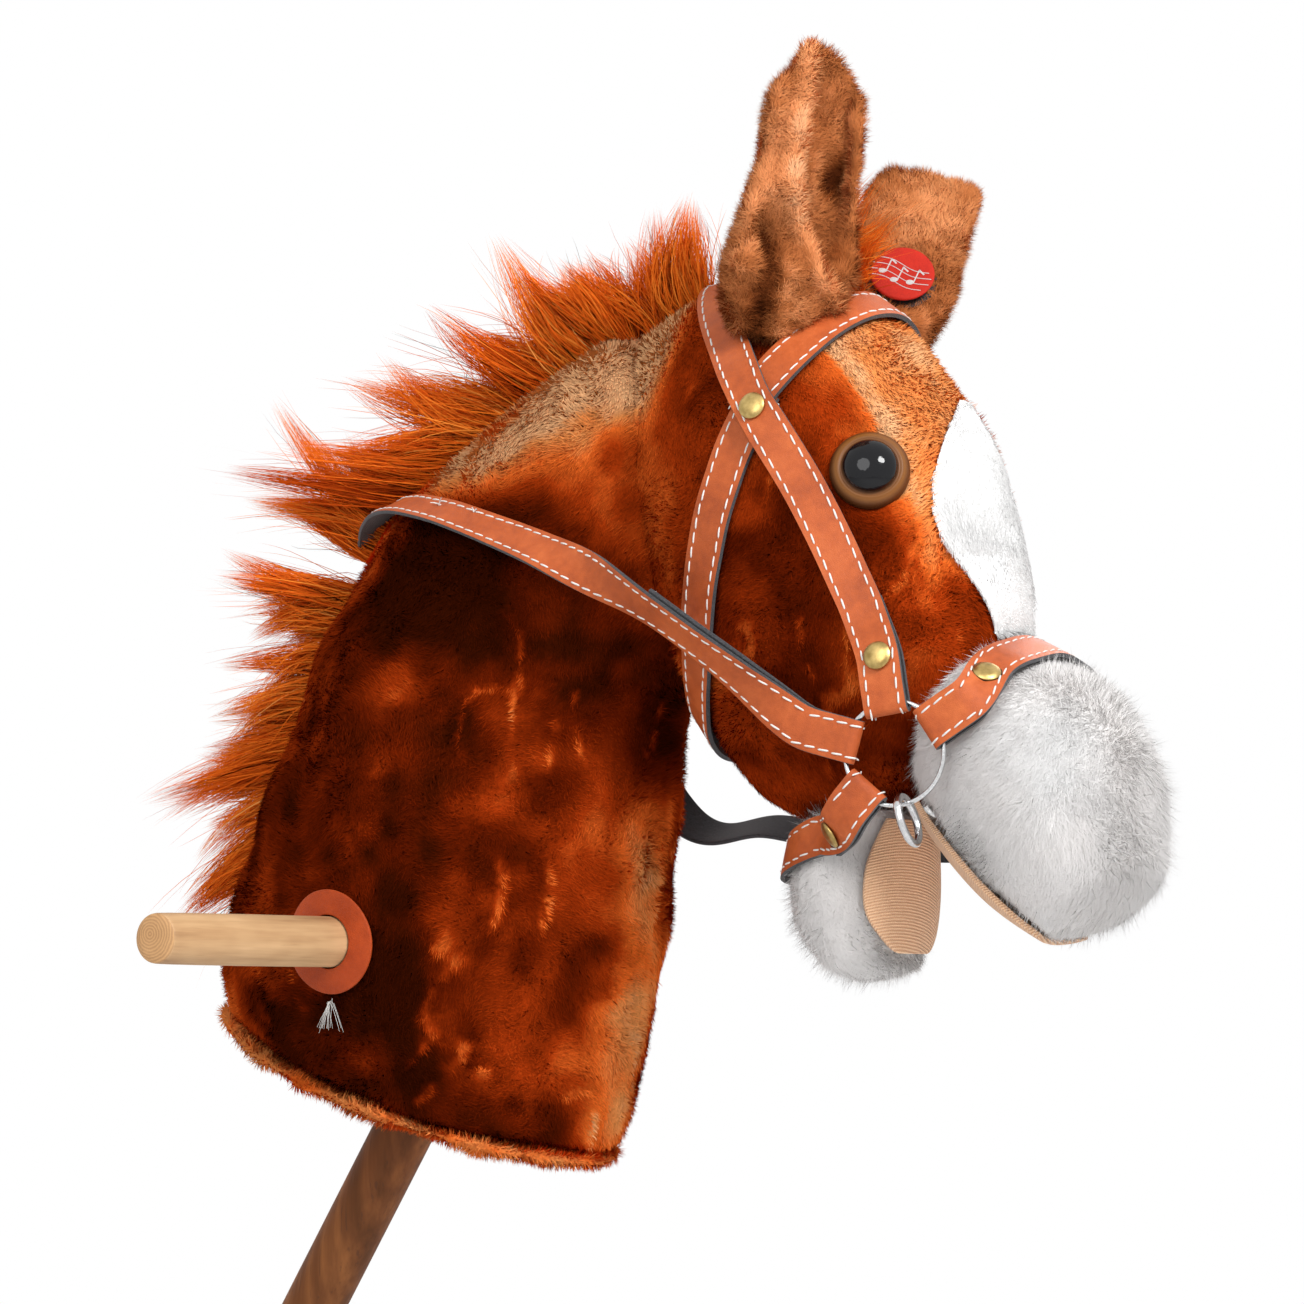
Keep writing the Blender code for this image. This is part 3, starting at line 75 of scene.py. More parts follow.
class Field:
    """A number that a material's nodes give over the surface."""

    def __init__(self, tree, socket):
        self.tree = tree
        self.socket = socket

    def combine(self, operation, *others):
        node = self.tree.nodes.new("ShaderNodeMath")
        node.operation = operation
        for place, value in zip(node.inputs, others):
            if isinstance(value, Field):
                self.tree.links.new(value.socket, place)
            else:
                place.default_value = value
        return Field(self.tree, node.outputs[0])

    __add__ = __radd__ = by_math("ADD")
    __sub__ = by_math("SUBTRACT")
    __rsub__ = by_math("SUBTRACT", turned=True)
    __mul__ = __rmul__ = by_math("MULTIPLY")
    __pow__ = by_math("POWER")

    def fade(self, low, high):
        """0 below low, 1 above high, and smooth between."""
        node = self.tree.nodes.new("ShaderNodeMapRange")
        node.interpolation_type = "SMOOTHSTEP"
        self.tree.links.new(self.socket, node.inputs["Value"])
        node.inputs["From Min"].default_value = low
        node.inputs["From Max"].default_value = high
        return Field(self.tree, node.outputs["Result"])


class Finish:
    """One material. Its methods add nodes to it, and wear sets what shows."""

    def __init__(self, name):
        self.material = bpy.data.materials.new(name)
        self.material.use_nodes = True
        self.tree = self.material.node_tree
        self.shader = self.tree.nodes["Principled BSDF"]

    def node(self, kind, settings=None, inputs=None, output=0):
        made = self.tree.nodes.new("ShaderNode" + kind)
        for name, value in (settings or {}).items():
            if name == "stops":
                while len(made.color_ramp.elements) < len(value):
                    made.color_ramp.elements.new(0.5)
                for stop, (place, colour) in zip(made.color_ramp.elements, value):
                    stop.position = place
                    stop.color = (*colour, 1)
            else:
                setattr(made, name, value)
        for name, value in (inputs or {}).items():
            self.feed(made.inputs[name], value)
        return Field(self.tree, made.outputs[output])

    def feed(self, place, value):
        if isinstance(value, Field):
            self.tree.links.new(value.socket, place)
        elif isinstance(value, tuple) and len(value) == 3 and place.type == "RGBA":
            place.default_value = (*value, 1)
        else:
            place.default_value = value

    def ramp(self, factor, *stops):
        return self.node("ValToRGB", {"stops": stops}, {"Fac": factor})

    def noise(self, scale, detail, rough, stretch=(1, 1, 1), turn=(0, 0, 0)):
        inputs = {"Vector": self.here(), "Scale": stretch, "Rotation": turn}
        laid = self.node("Mapping", {}, inputs)
        sizes = {"Vector": laid, "Scale": scale, "Detail": detail, "Roughness": rough}
        return self.node("TexNoise", {}, sizes)

    def cells(self, scale, distance="EUCLIDEAN"):
        """How far each place is from the edge of its random cell."""
        settings = {"feature": "DISTANCE_TO_EDGE", "distance": distance}
        return self.node("TexVoronoi", settings, {"Vector": self.here(), "Scale": scale})

    def part(self, vector, letter):
        return self.node("SeparateXYZ", {}, {"Vector": vector}, output=letter)

    def blend(self, factor, first, second, kind="MIX"):
        inputs = {0: factor, 6: first, 7: second}
        return self.node("Mix", {"data_type": "RGBA", "blend_type": kind}, inputs, 2)

    def bump(self, height, distance):
        return self.node("Bump", {}, {"Height": height, "Distance": distance, "Strength": 1.0})

    def wear(self, **values):
        for name, value in values.items():
            self.feed(self.shader.inputs[name.replace("_", " ")], value)
        return self.material

    def here(self):
        return self.node("TexCoord", output="Object")


def mottled(name, grain, *stops):
    """A finish coloured by one noise, and that noise. grain is its scale, detail and roughness."""
    coat = Finish(name)
    mottle = coat.noise(*grain)
    coat.wear(Base_Color=coat.ramp(mottle, *stops))
    return coat, mottle


def solid(piece):
    """A piece itself, or the solid of this name."""
    return frame["nodes"][piece] if isinstance(piece, str) else piece


def coated(coat, *nodes):
    """Gives their material to solids that show as they are."""
    for node in nodes:
        solid(node).data.materials.clear()
        solid(node).data.materials.append(coat.material)


def choose(piece):
    """Selects this piece alone and makes it active."""
    bpy.ops.object.select_all(action="DESELECT")
    piece.select_set(True)
    bpy.context.view_layer.objects.active = piece


def placed(name, data):
    """A new object of this data in the scene."""
    made = bpy.data.objects.new(name, data)
    bpy.context.scene.collection.objects.link(made)
    return made


def closed(piece, joined=False):
    """Turns a piece's faces outward and shades it smooth. joined first merges its loose triangles."""
    choose(piece)
    bpy.ops.object.mode_set(mode="EDIT")
    bpy.ops.mesh.select_all(action="SELECT")
    if joined:
        bpy.ops.mesh.remove_doubles(threshold=0.00001)
        bpy.ops.mesh.tris_convert_to_quads(
            face_threshold=math.radians(40), shape_threshold=math.radians(60))
    bpy.ops.mesh.normals_make_consistent(inside=False)
    if joined:
        bpy.ops.mesh.customdata_custom_splitnormals_clear()
    bpy.ops.object.mode_set(mode="OBJECT")
    bpy.ops.object.shade_smooth()


def copy_of(node, name):
    """A piece of its own in a solid's place, with the solid's loose triangles joined to quads."""
    made = placed(name, solid(node).data.copy())
    made.data.materials.clear()
    closed(made, joined=True)
    return made


def applied(piece):
    """Applies a piece's modifiers in their order."""
    choose(piece)
    for modifier in list(piece.modifiers):
        bpy.ops.object.modifier_apply(modifier=modifier.name)


def finished(piece, material, body="horse"):
    """Gives a piece its material and fixes it to its body."""
    piece.data.materials.clear()
    piece.data.materials.append(material)
    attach(piece, body)


def eased(piece, edge, which, levels, sharp=38):
    """Breaks a piece's edges and makes its round sides fine."""
    bevel = piece.modifiers.new("edges", "BEVEL")
    bevel.limit_method, bevel.width, bevel.segments = which, edge, 2
    bevel.angle_limit = math.radians(sharp)
    fine = piece.modifiers.new("fine", "SUBSURF")
    fine.levels = fine.render_levels = levels
    applied(piece)


def rounded(node, name, edge, coat, body="horse", levels=2, sharp=38):
    """A turned or moulded piece in a solid's place."""
    made = copy_of(node, name)
    eased(made, edge, "ANGLE", levels, sharp)
    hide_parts(node)
    finished(made, coat.material, body)
    return made


SIDES = ("right", "left")
STRAPS = ("crown_strap", "browband", "throatlatch", "noseband", "chin_strap", "rein_strap")
LEAN = math.radians(32)
stain = Finish("pole_stained_beech")
grain = stain.noise(90, 4, 0.6, (1, 1, 0.05), (0, -LEAN, 0))
pores = stain.noise(600, 2, 0.5, (1, 1, 0.03), (0, -LEAN, 0))
worn = stain.noise(9, 2, 0.5)
brown = stain.ramp(
    grain * 0.75 + worn * 0.25,
    (0.34, (0.075, 0.026, 0.0075)),
    (0.50, (0.162, 0.055, 0.017)),
    (0.66, (0.285, 0.105, 0.032)),
)
brown = stain.blend(pores.fade(0.60, 0.72) * 0.5, brown, (0.075, 0.033, 0.018))
stain.wear(
    Base_Color=brown,
    Roughness=0.46 + pores * 0.2,
    Normal=stain.bump(pores * 0.6 + grain * 0.4, 0.0002),
    Specular_IOR_Level=0.14,
)
rounded("pole", "pole_dowel", 0.0008, stain)

# Pole's end cap
# A black rubber cup pushed over the lower end, so that the pole drags softly. Its side has fine
# moulded rings and its foot is scuffed grey.

rubber, scuffs = mottled(
    "cap_rubber", (160, 3, 0.6), (0.35, (0.016, 0.016, 0.017)), (0.75, (0.050, 0.048, 0.045)))
speckle = rubber.noise(900, 2, 0.5)
rubber.wear(Roughness=0.55 + scuffs * 0.35, Normal=rubber.bump(speckle, 0.00012))
rounded("pole_end_cap", "rubber_cap", 0.0012, rubber)

# Handle dowel and its screw
# A pale sanded dowel that crosses the neck, with broken edges and darker end grain. A zinc screw
# holds it in its saddle on the pole, inside the neck.

pale = Finish("handle_pale_beech")
streaks = pale.noise(110, 4, 0.6, (1, 0.06, 1))
flecks = pale.noise(900, 2, 0.5, (1, 0.05, 1))
smudge = pale.noise(28, 3, 0.6, (1, 0.6, 1))
wood = pale.ramp(
    streaks * 0.65 + smudge * 0.35,
    (0.36, (0.310, 0.160, 0.068)),
    (0.48, (0.515, 0.300, 0.142)),
    (0.62, (0.700, 0.445, 0.228)),
)
wood = pale.blend(flecks.fade(0.62, 0.75) * 0.45, wood, (0.450, 0.255, 0.112))
end_y = pale.part(pale.node("NewGeometry", output="Normal"), "Y")
on_end = (end_y * end_y).fade(0.5, 0.9)
HEARTWOOD = (-0.3185, 0, -0.5561)
ring_place = pale.node("Mapping", {}, {"Vector": pale.here(), "Location": HEARTWOOD})
rings = pale.node(
    "TexWave", {"wave_type": "RINGS", "rings_direction": "Y"},
    {"Vector": ring_place, "Scale": 260, "Distortion": 3, "Detail": 2},
)
end_wood = pale.blend(rings * 0.8, (0.630, 0.352, 0.150), (0.405, 0.203, 0.083))
pale.wear(
    Base_Color=pale.blend(on_end * 0.85, wood, end_wood),
    Roughness=0.5 + flecks * 0.2,
    Normal=pale.bump(streaks * 0.5 + flecks * 0.5, 0.00018),
)
rounded("handle_dowel", "handle", 0.0009, pale)

zinc, dull = mottled("screw_zinc", (700, 2, 0.5), (0.3, (0.45, 0.46, 0.48)), (0.8, (0.62, 0.62, 0.60)))
zinc.wear(Metallic=1.0, Roughness=0.28 + dull * 0.2)
coated(zinc, "handle_screw")

# Handle patches
# Round discs of red-brown vinyl, glued on the plush where the handle comes out. Their rims are
# softly broken and the vinyl has a fine leather print.

vinyl, mottle = mottled(
    "patch_vinyl", (120, 3, 0.6), (0.3, (0.319, 0.038, 0.0043)), (0.75, (0.493, 0.067, 0.0087)))
vinyl.wear(
    Roughness=0.42 + mottle * 0.14,
    Normal=vinyl.bump(vinyl.cells(1100).fade(0.0, 0.25), 0.00009),
    Specular_IOR_Level=0.25,
)
for side in SIDES:
    rounded("handle_patch_" + side, "handle_disc_" + side, 0.0004, vinyl)

# Plush cloth of the neck
# Short crushed pile in rust brown over a knitted back, stuffed firm with fibre. It lies in light and
# dark patches, with painted sheen marks, painted shade under the rein and painted light towards its
# front.
# It turns tan along the crest and creases along its front seam.

SEAT = np.array([0.29675, 0.0, 0.47491])


SHORT_PILE = 0.0036


def place(*points):
    """World points from (x, z, y) in mm, counted from where the pole leaves the neck."""
    return np.array([[p[0], p[2] if len(p) > 2 else 0, p[1]] for p in points], float) / 1000 + SEAT


def wander(points, size, seed):
    """Smooth noise from -1 to 1, with features of about this size in metres."""
    table = np.random.default_rng(seed).uniform(-1, 1, 4096)
    grid = points / size + 0.37 * seed
    cell = np.floor(grid).astype(np.int64)
    part = grid - cell
    part = part * part * (3 - 2 * part)
    total = np.zeros(len(points))
    for corner in itertools.product((0, 1), repeat=3):
        at = cell + np.array(corner)
        key = (at[:, 0] * 73856093 ^ at[:, 1] * 19349663 ^ at[:, 2] * 83492791) & 4095
        total += table[key] * np.prod(np.where(corner, part, 1 - part), axis=1)
    return total


def away_from(points, line):
    """How far each point lies from a line through the given places."""
    best = np.full(len(points), 9.0)
    for a, b in zip(line, line[1:]):
        along = b - a
        share = np.clip((points - a) @ along / (along @ along), 0, 1)
        best = np.minimum(best, np.linalg.norm(points - a - share[:, None] * along, axis=1))
    return best


def bump(distance, full, none):
    """1 within full, 0 beyond none, and smooth between."""
    share = np.clip((none - distance) / (none - full), 0, 1)
    return share * share * (3 - 2 * share)


def drift(points, size, seed):
    """Smooth noise as a vector, each of its parts from -1 to 1."""
    return np.stack([wander(points, size, seed + k) for k in range(3)], 1)


def unit(vectors):
    return vectors / np.maximum(np.linalg.norm(vectors, axis=-1, keepdims=True), 1e-9)


def spots(piece):
    """Places and normals of a mesh's vertices."""
    vertices = solid(piece).data.vertices
    found = []
    for kind in ("co", "normal"):
        values = np.empty(len(vertices) * 3, np.float32)
        vertices.foreach_get(kind, values)
        found.append(values.reshape(-1, 3).astype(float))
    return found


def moved(piece, places):
    """Puts a mesh's vertices at these places."""
    piece.data.vertices.foreach_set("co", places.astype(np.float32).ravel())
    piece.data.update()


def tree_of(*pieces):
    """One search tree of several pieces or named solids."""
    corners, faces = [], []
    for piece in map(solid, pieces):
        start = len(corners)
        corners += [tuple(v.co) for v in piece.data.vertices]
        faces += [[start + i for i in p.vertices] for p in piece.data.polygons]
    return BVHTree.FromPolygons(corners, faces)


def stuffed(node, name, voxel, raise_by, tone, cloth, smooth=6):
    """The cloth of a stuffed solid: remeshed evenly, smoothed, and pushed in or out by raise_by. It
    keeps its pile's tone, and so has the hairs' colour between them."""
    made = copy_of(node, name)
    even = made.modifiers.new("even", "REMESH")
    even.mode = "VOXEL"
    even.voxel_size = voxel
    soft = made.modifiers.new("soft", "SMOOTH")
    soft.factor = 0.5
    soft.iterations = smooth
    applied(made)
    places, normals = spots(made)
    places += normals * raise_by(places, normals)[:, None]
    moved(made, places)
    choose(made)
    bpy.ops.object.shade_smooth()
    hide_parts(node)
    finished(made, cloth)
    layer = made.data.attributes.new("tone", "FLOAT", "POINT")
    layer.data.foreach_set("value", np.clip(tone(*spots(made)), 0, 1).astype(np.float32))
    return made


BARE_CLEAR, BARE_REACH = 0.0002, 0.05


def sown(piece, per_mm2, seed, bare):
    """Root places and normals sown evenly over a mesh, but not inside the bare solids, and the
    random numbers that follow."""
    piece.data.calc_loop_triangles()
    corners = np.empty(len(piece.data.loop_triangles) * 3, np.int32)
    piece.data.loop_triangles.foreach_get("vertices", corners)
    corners = corners.reshape(-1, 3)
    places, normals = spots(piece)
    a, b, c = (places[corners[:, k]] for k in range(3))
    middles = (a + b + c) / 3
    open_faces = np.ones(len(corners), bool)
    for tree, (i, middle) in itertools.product(bare, enumerate(middles)):
        if open_faces[i]:
            hit, out, _, gap = tree.find_nearest(middle)
            above = (middle[0] - hit[0]) * out[0] + (middle[1] - hit[1]) * out[1]
            above += (middle[2] - hit[2]) * out[2]
            open_faces[i] = above > BARE_CLEAR or gap > BARE_REACH
    area = np.linalg.norm(np.cross(b - a, c - a), axis=1) / 2 * 1e6 * open_faces
    rng = np.random.default_rng(seed)
    count = int(area.sum() * per_mm2)
    picked = rng.choice(len(corners), count, p=area / area.sum())
    u, v = rng.random((2, count))
    flip = u + v > 1
    u[flip], v[flip] = 1 - u[flip], 1 - v[flip]
    weights = np.stack([1 - u - v, u, v], 1)[:, :, None]
    roots = (places[corners[picked]] * weights).sum(1)
    return roots, unit((normals[corners[picked]] * weights).sum(1)), rng


def strands(name, paths, widths, sides, tones, facing, material):
    """A mesh of flat tapered hairs. paths has a row of points for each hair. The map's u is the
    hair's tone and its v runs from root to tip, which is all that the material reads."""
    hairs, points = paths.shape[:2]
    steps = points - 1
    taper = (1 - np.arange(steps) / steps) ** 0.6
    reach = sides[:, None, :] * (widths[:, None] * taper[None, :] / 2)[:, :, None]
    corners = np.empty((hairs, 2 * steps + 1, 3))
    corners[:, 0:-1:2] = paths[:, :-1] - reach
    corners[:, 1:-1:2] = paths[:, :-1] + reach
    corners[:, -1] = paths[:, -1]
    loops = [2 * k + corner for k in range(steps - 1) for corner in (0, 1, 3, 2)]
    loops = np.array(loops + [2 * steps - 2, 2 * steps - 1, 2 * steps])
    every = np.arange(hairs)[:, None]
    index = (loops[None, :] + every * (2 * steps + 1)).ravel()
    begin = (np.arange(steps)[None, :] * 4 + every * len(loops)).ravel()
    mesh = bpy.data.meshes.new(name)
    mesh.vertices.add(hairs * (2 * steps + 1))
    mesh.vertices.foreach_set("co", corners.astype(np.float32).ravel())
    mesh.loops.add(len(index))
    mesh.loops.foreach_set("vertex_index", index.astype(np.int32))
    mesh.polygons.add(len(begin))
    mesh.polygons.foreach_set("loop_start", begin.astype(np.int32))
    mesh.update(calc_edges=True)
    mesh.shade_smooth()
    layer = mesh.uv_layers.new(name="OFBake")
    tone = np.repeat(np.clip(tones, 0.01, 0.985), len(loops)) + np.tile(loops % 2 * 0.004, hairs)
    height = np.tile(loops // 2 / steps, hairs)
    layer.uv.foreach_set("vector", np.stack([tone, height], 1).astype(np.float32).ravel())
    normals = np.repeat(facing, 2 * steps + 1, axis=0)
    mesh.normals_split_custom_set_from_vertices(normals.astype(np.float32))
    mesh.materials.append(material)
    return placed(name, mesh)


ROOT_DEPTH, SHORTEST_HAIR = 0.0004, 0.0007


def pile(name, piece, per_mm2, long, wide, nap, tone, material, slot, seed, bare, stops,
         under=None, rise=0.6, rough=0.10, stir=0.25, light=0.0):
    """Short fur on a cloth piece. nap gives the way it lies, tone its shade and long its length.
    A hair that would cross one of the stops is cut short, and none grows where under covers it.
    Light hairs are broader, to hide the darker cloth."""
    roots, outs, rng = sown(piece, per_mm2, seed, bare)
    if under is not None:
        open_air = [under.ray_cast(root, out, 0.005)[0] is None for root, out in zip(roots, outs)]
        roots, outs = roots[open_air], outs[open_air]
    count = len(roots)
    lie = nap(roots, outs) + rng.normal(0, stir, (count, 3))
    lie -= outs * (lie * outs).sum(1)[:, None]
    ways = unit(outs * rise + lie)
    lengths = long(roots) * rng.uniform(0.75, 1.15, count)
    for i in range(count):
        hit = stops.ray_cast(roots[i], ways[i], lengths[i] * 1.15)
        if hit[0] is not None:
            lengths[i] = hit[3] * 0.8
    keep = lengths > SHORTEST_HAIR
    roots, outs, ways, lengths = roots[keep], outs[keep], ways[keep], lengths[keep]
    count = len(roots)
    sides = unit(np.cross(ways, outs) + rng.normal(0, 0.35, (count, 3)))
    sides = unit(sides - ways * (sides * ways).sum(1)[:, None])
    start = roots - outs * ROOT_DEPTH
    paths = np.stack([start, start + ways * lengths[:, None]], 1)
    facing = unit(outs + ways * 0.35 + rng.normal(0, rough, (count, 3)))
    tones = tone(roots, outs) + rng.normal(0, 0.022, count)
    widths = wide * rng.uniform(0.7, 1.2, count) * (1 + light * np.clip(tones - 0.5, 0, 0.5))
    made = strands(name, paths, widths, sides, tones, facing, material)
    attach(made, "horse")


def fur_finish(name, stops, rough, sheen, sheen_tint, shade):
    """A fur's material: its colour by the hair's tone, with painted shade that darkens it towards the
    root by shade.
    """
    coat = Finish(name)
    along = coat.node("UVMap", {"uv_map": "OFBake"})
    # Painted shade: each hair darkens towards its root.
    depth = (1 - coat.part(along, "Y").fade(0.0, 0.75)) * shade
    colour = coat.ramp(coat.part(along, "X"), *stops)
    return coat.wear(
        Base_Color=coat.blend(depth, colour, (0.45, 0.36, 0.32), "MULTIPLY"),
        Roughness=rough,
        Sheen_Weight=sheen,
        Sheen_Roughness=0.4,
        Sheen_Tint=sheen_tint,
        Specular_IOR_Level=0.0,
    )


def cloth_finish(name, stops, low, high, scale=160):
    """The knitted back under a pile, seen only between the hairs, in their colour but darkened from
    low to high: painted shade deep under the pile.
    """
    coat = Finish(name)
    tufts = coat.noise(scale, 4, 0.65)
    fine = coat.noise(scale * 6, 2, 0.6)
    tone = coat.node("Attribute", {"attribute_name": "tone"}, output="Fac")
    # Painted shade of the cloth under the hairs, in noisy patches from low to high.
    depth = coat.ramp(tufts * 0.6 + fine * 0.4, (0.35, (low,) * 3), (0.65, (high,) * 3))
    return coat.wear(
        Base_Color=coat.blend(1.0, coat.ramp(tone, *stops), depth, "MULTIPLY"),
        Roughness=0.95,
        Normal=coat.bump(fine * 0.6 + tufts * 0.4, 0.0012),
        Specular_IOR_Level=0.0,
    )


BROWN_STOPS = (
    (0.00, (0.045, 0.0060, 0.0008)),
    (0.20, (0.173, 0.015, 0.0012)),
    (0.40, (0.465, 0.048, 0.0045)),
    (0.60, (0.930, 0.173, 0.024)),
    (0.80, (0.900, 0.310, 0.085)),
    (1.00, (0.930, 0.500, 0.240)),
)
brown_fur = fur_finish("rust_pile", BROWN_STOPS, 0.6, 0.0, (0.9, 0.3, 0.1), 0.30)
brown_cloth = cloth_finish("rust_cloth", BROWN_STOPS, 0.50, 0.85)

CREST = place(
    (-79, 60), (-66, 108), (-47, 160), (-24, 215), (5, 257), (54, 296), (106, 323), (160, 338))
FRONT = place((100, -5), (111, 24), (118, 75), (128, 130))
# The line below the rein, where the rein's shadow is painted on the neck.
REIN_SHADOW_LINE = place((40, 228), (75, 222), (112, 196), (128, 165))
HEAD_SEAM = place((148, 300, -56), (140, 262, -62), (136, 222, -60), (134, 190, -54))


def neck_swell(places, normals):
    seam = away_from(places, FRONT)
    ridge = 0.0022 * bump(seam, 0.003, 0.014) - 0.0050 * bump(seam, 0, 0.0045)
    folds = 0.0016 * wander(places * (1, 1, 1.6), 0.045, 3) + 0.0006 * wander(places, 0.014, 4)
    rim = 0.0012 * bump(np.abs(away_from(places, CREST) - 0.016), 0, 0.006)
    return folds + ridge - rim - 0.0016


def crushed(places, seed):
    """The way a crushed pile lies: mostly down the neck, swept about in patches."""
    return drift(places, 0.032, seed) * 1.3 + drift(places, 0.011, seed + 5) * 0.8 + (0.0, 0.0, -0.55)


def crush_tone_and_sheen(places, seed):
    """Light and dark patches of crushed pile, and short bright marks of painted sheen where it breaks
    over.
    """
    tone = 0.20 * wander(places, 0.055, seed) + 0.18 * wander(places, 0.022, seed + 1)
    tone += 0.11 * wander(places, 0.009, seed + 2)
    ridge = bump(np.abs(wander(places * (1, 1, 0.6), 0.019, seed + 3)), 0.0, 0.15)
    where = np.clip(wander(places, 0.034, seed + 4) * 2.5, 0, 1)
    where *= np.clip(0.35 + wander(places, 0.0055, seed + 5) * 1.8, 0, 1)
    # The ridge marks are painted sheen: bright streaks where the pile catches the light.
    return tone + 0.32 * ridge * where


def crest_tan(places):
    """How tan the cloth is along the crest: most where the upper mane grows."""
    crest = away_from(places * (1, 0, 1), CREST) + 0.006 * wander(places, 0.030, 26)
    upper = 1 - bump(places[:, 2], 0.690, 0.760)
    return bump(crest, 0.022, 0.060) * (0.62 * upper + 0.16)


def rust(places, normals):
    # Painted light: the front part of the neck is made lighter, where the light falls from the front.
    front = 1 - bump(places[:, 0] - SEAT[0], 0.055, 0.115)
    tone = 0.15 + 1.20 * crush_tone_and_sheen(places, 21) + 0.33 * front
    # Painted shadow of the rein: the pile is darker in a band along this line.
    tone -= 0.28 * bump(away_from(places * (1, 0, 1), REIN_SHADOW_LINE), 0.008, 0.045)
    tone += crest_tan(places)
    tone += 0.22 * bump(away_from(places, HEAD_SEAM), 0.003, 0.010)
    tone += 0.15 * bump(away_from(places, FRONT), 0.004, 0.026)
    return tone


over_fur = tree_of(
    *STRAPS, "handle_dowel", "handle_patch_right", "handle_patch_left", "eye_right", "eye_left",
    "cheek_ring_right", "cheek_ring_left", "pole", "button_patch",
)
bodies = {n: tree_of(n) for n in ("neck", "head", "upper_muzzle", "lower_jaw")}
neck = stuffed("neck", "neck_plush", 0.0035, neck_swell, rust, brown_cloth)
pile(
    "neck_pile", neck, 1.1, lambda p: np.full(len(p), SHORT_PILE), 0.00052,
    lambda p, n: crushed(p, 31), rust, brown_fur, "brown_plush", 5,
    bare=(bodies["head"],), stops=over_fur, light=2.4,
)

# Sewn bottom of the neck
# A round panel closes the neck about the pole. Its edge is turned in a thick rolled seam, where the
# pile stands out tan and ragged.


def base_swell(places, normals):
    return 0.0016 * wander(places, 0.012, 8) + 0.0008 * wander(places, 0.005, 9) - 0.0006


def rim_tone(places, normals):
    return 0.72 + 0.14 * wander(places, 0.016, 24) + 0.12 * wander(places, 0.005, 25)


base = stuffed(
    "neck_base_panel", "neck_bottom", 0.0022, base_swell, rim_tone, brown_cloth, 3)
pile(
    "neck_bottom_pile", base, 1.1, lambda p: np.full(len(p), 0.0042), 0.00055,
    lambda p, n: crushed(p, 41) * 0.8, rim_tone, brown_fur, "brown_plush", 6,
    bare=(bodies["neck"],), stops=tree_of("pole"), rise=0.8, light=1.2,
)

# Head
# The same pile over a stuffed head: rust on the cheeks, tan on the forehead between two seams that
# run down from the browband to the white blaze.

BROW_SEAM = place(
    (222, 309, -34), (240, 289, -37), (250, 274, -37),
    (261, 237, -38), (266, 225, -38), (273, 205, -36),
)


def off_seam(places):
    """How far each place is from the nearer seam of the forehead."""
    return np.minimum(away_from(places, BROW_SEAM), away_from(places, BROW_SEAM * (1, -1, 1)))


blaze_tree = tree_of("blaze_panel")


def by_blaze(places):
    """1 at the white face panel and 0 from 6 mm off it."""
    return bump(np.array([blaze_tree.find_nearest(p)[3] for p in places]), 0.0015, 0.006)


def head_swell(places, normals):
    seam = off_seam(places)
    crease = 0.0014 * bump(seam, 0.003, 0.010) - 0.0028 * bump(seam, 0, 0.003)
    swell = 0.0010 * wander(places, 0.030, 11) + 0.0005 * wander(places, 0.010, 12) + crease
    return swell + 0.0018 * by_blaze(places) - 0.0016


def head_tone(places, normals):
    tone = 0.32 + 0.85 * crush_tone_and_sheen(places, 51)
    width = np.interp(places[:, 2] - SEAT[2], (0.20, 0.25, 0.30, 0.34), (0.0355, 0.038, 0.0355, 0.034))
    front = bump(np.abs(places[:, 1]) - width, -0.002, 0.002) * (places[:, 0] - SEAT[0] > 0.19)
    front *= 1 - bump(places[:, 2] - SEAT[2] + 0.004 * wander(places, 0.010, 55), 0.206, 0.222)
    tone += 0.45 * front + 0.12 * bump(off_seam(places), 0.003, 0.009)
    behind = bump(places[:, 0] - SEAT[0], 0.142, 0.166)
    return tone * (1 - behind) + rust(places, normals) * behind


def down_face(places, seed, amount=1.0):
    return drift(places, 0.026, seed) * 1.1 + np.array([0.35, 0.0, -0.75]) * amount


head = stuffed("head", "head_plush", 0.0033, head_swell, head_tone, brown_cloth)
pile(
    "head_pile", head, 1.2, lambda p: SHORT_PILE + 0.0016 * by_blaze(p), 0.00050,
    lambda p, n: down_face(p, 61), head_tone, brown_fur, "brown_plush", 7,
    bare=(bodies["neck"], bodies["upper_muzzle"], bodies["lower_jaw"]),
    stops=over_fur, under=blaze_tree, light=2.4,
)

# Blaze, upper muzzle and lower jaw
# White pile, longer and softer on the muzzle and jaw than on the blaze. Single longer hairs stand
# out of it, and it ends in a fringe at the noseband and the tan mouth linings.

WHITE_STOPS = (
    (0.00, (0.70, 0.62, 0.58)),
    (0.40, (0.84, 0.80, 0.78)),
    (0.70, (0.88, 0.875, 0.87)),
    (1.00, (0.94, 0.91, 0.895)),
)
white_fur = fur_finish("white_pile", WHITE_STOPS, 0.6, 0.3, (1.0, 1.0, 1.0), 0.0)
white_cloth = cloth_finish("white_cloth", WHITE_STOPS, 0.92, 1.0, 200)


def blaze_tone(places, normals):
    return np.full(len(places), 0.70)


def soft_swell(places, normals):
    return 0.0007 * wander(places, 0.016, 13) - 0.0010


def muzzle_tone(places, normals):
    shaded = (places - place((322, 148, -40))[0]) / (1, 1.4, 1.2)
    pink = bump(np.linalg.norm(shaded, axis=1), 0.004, 0.030)
    return white_tone(places, normals) + 0.15 - 0.30 * pink


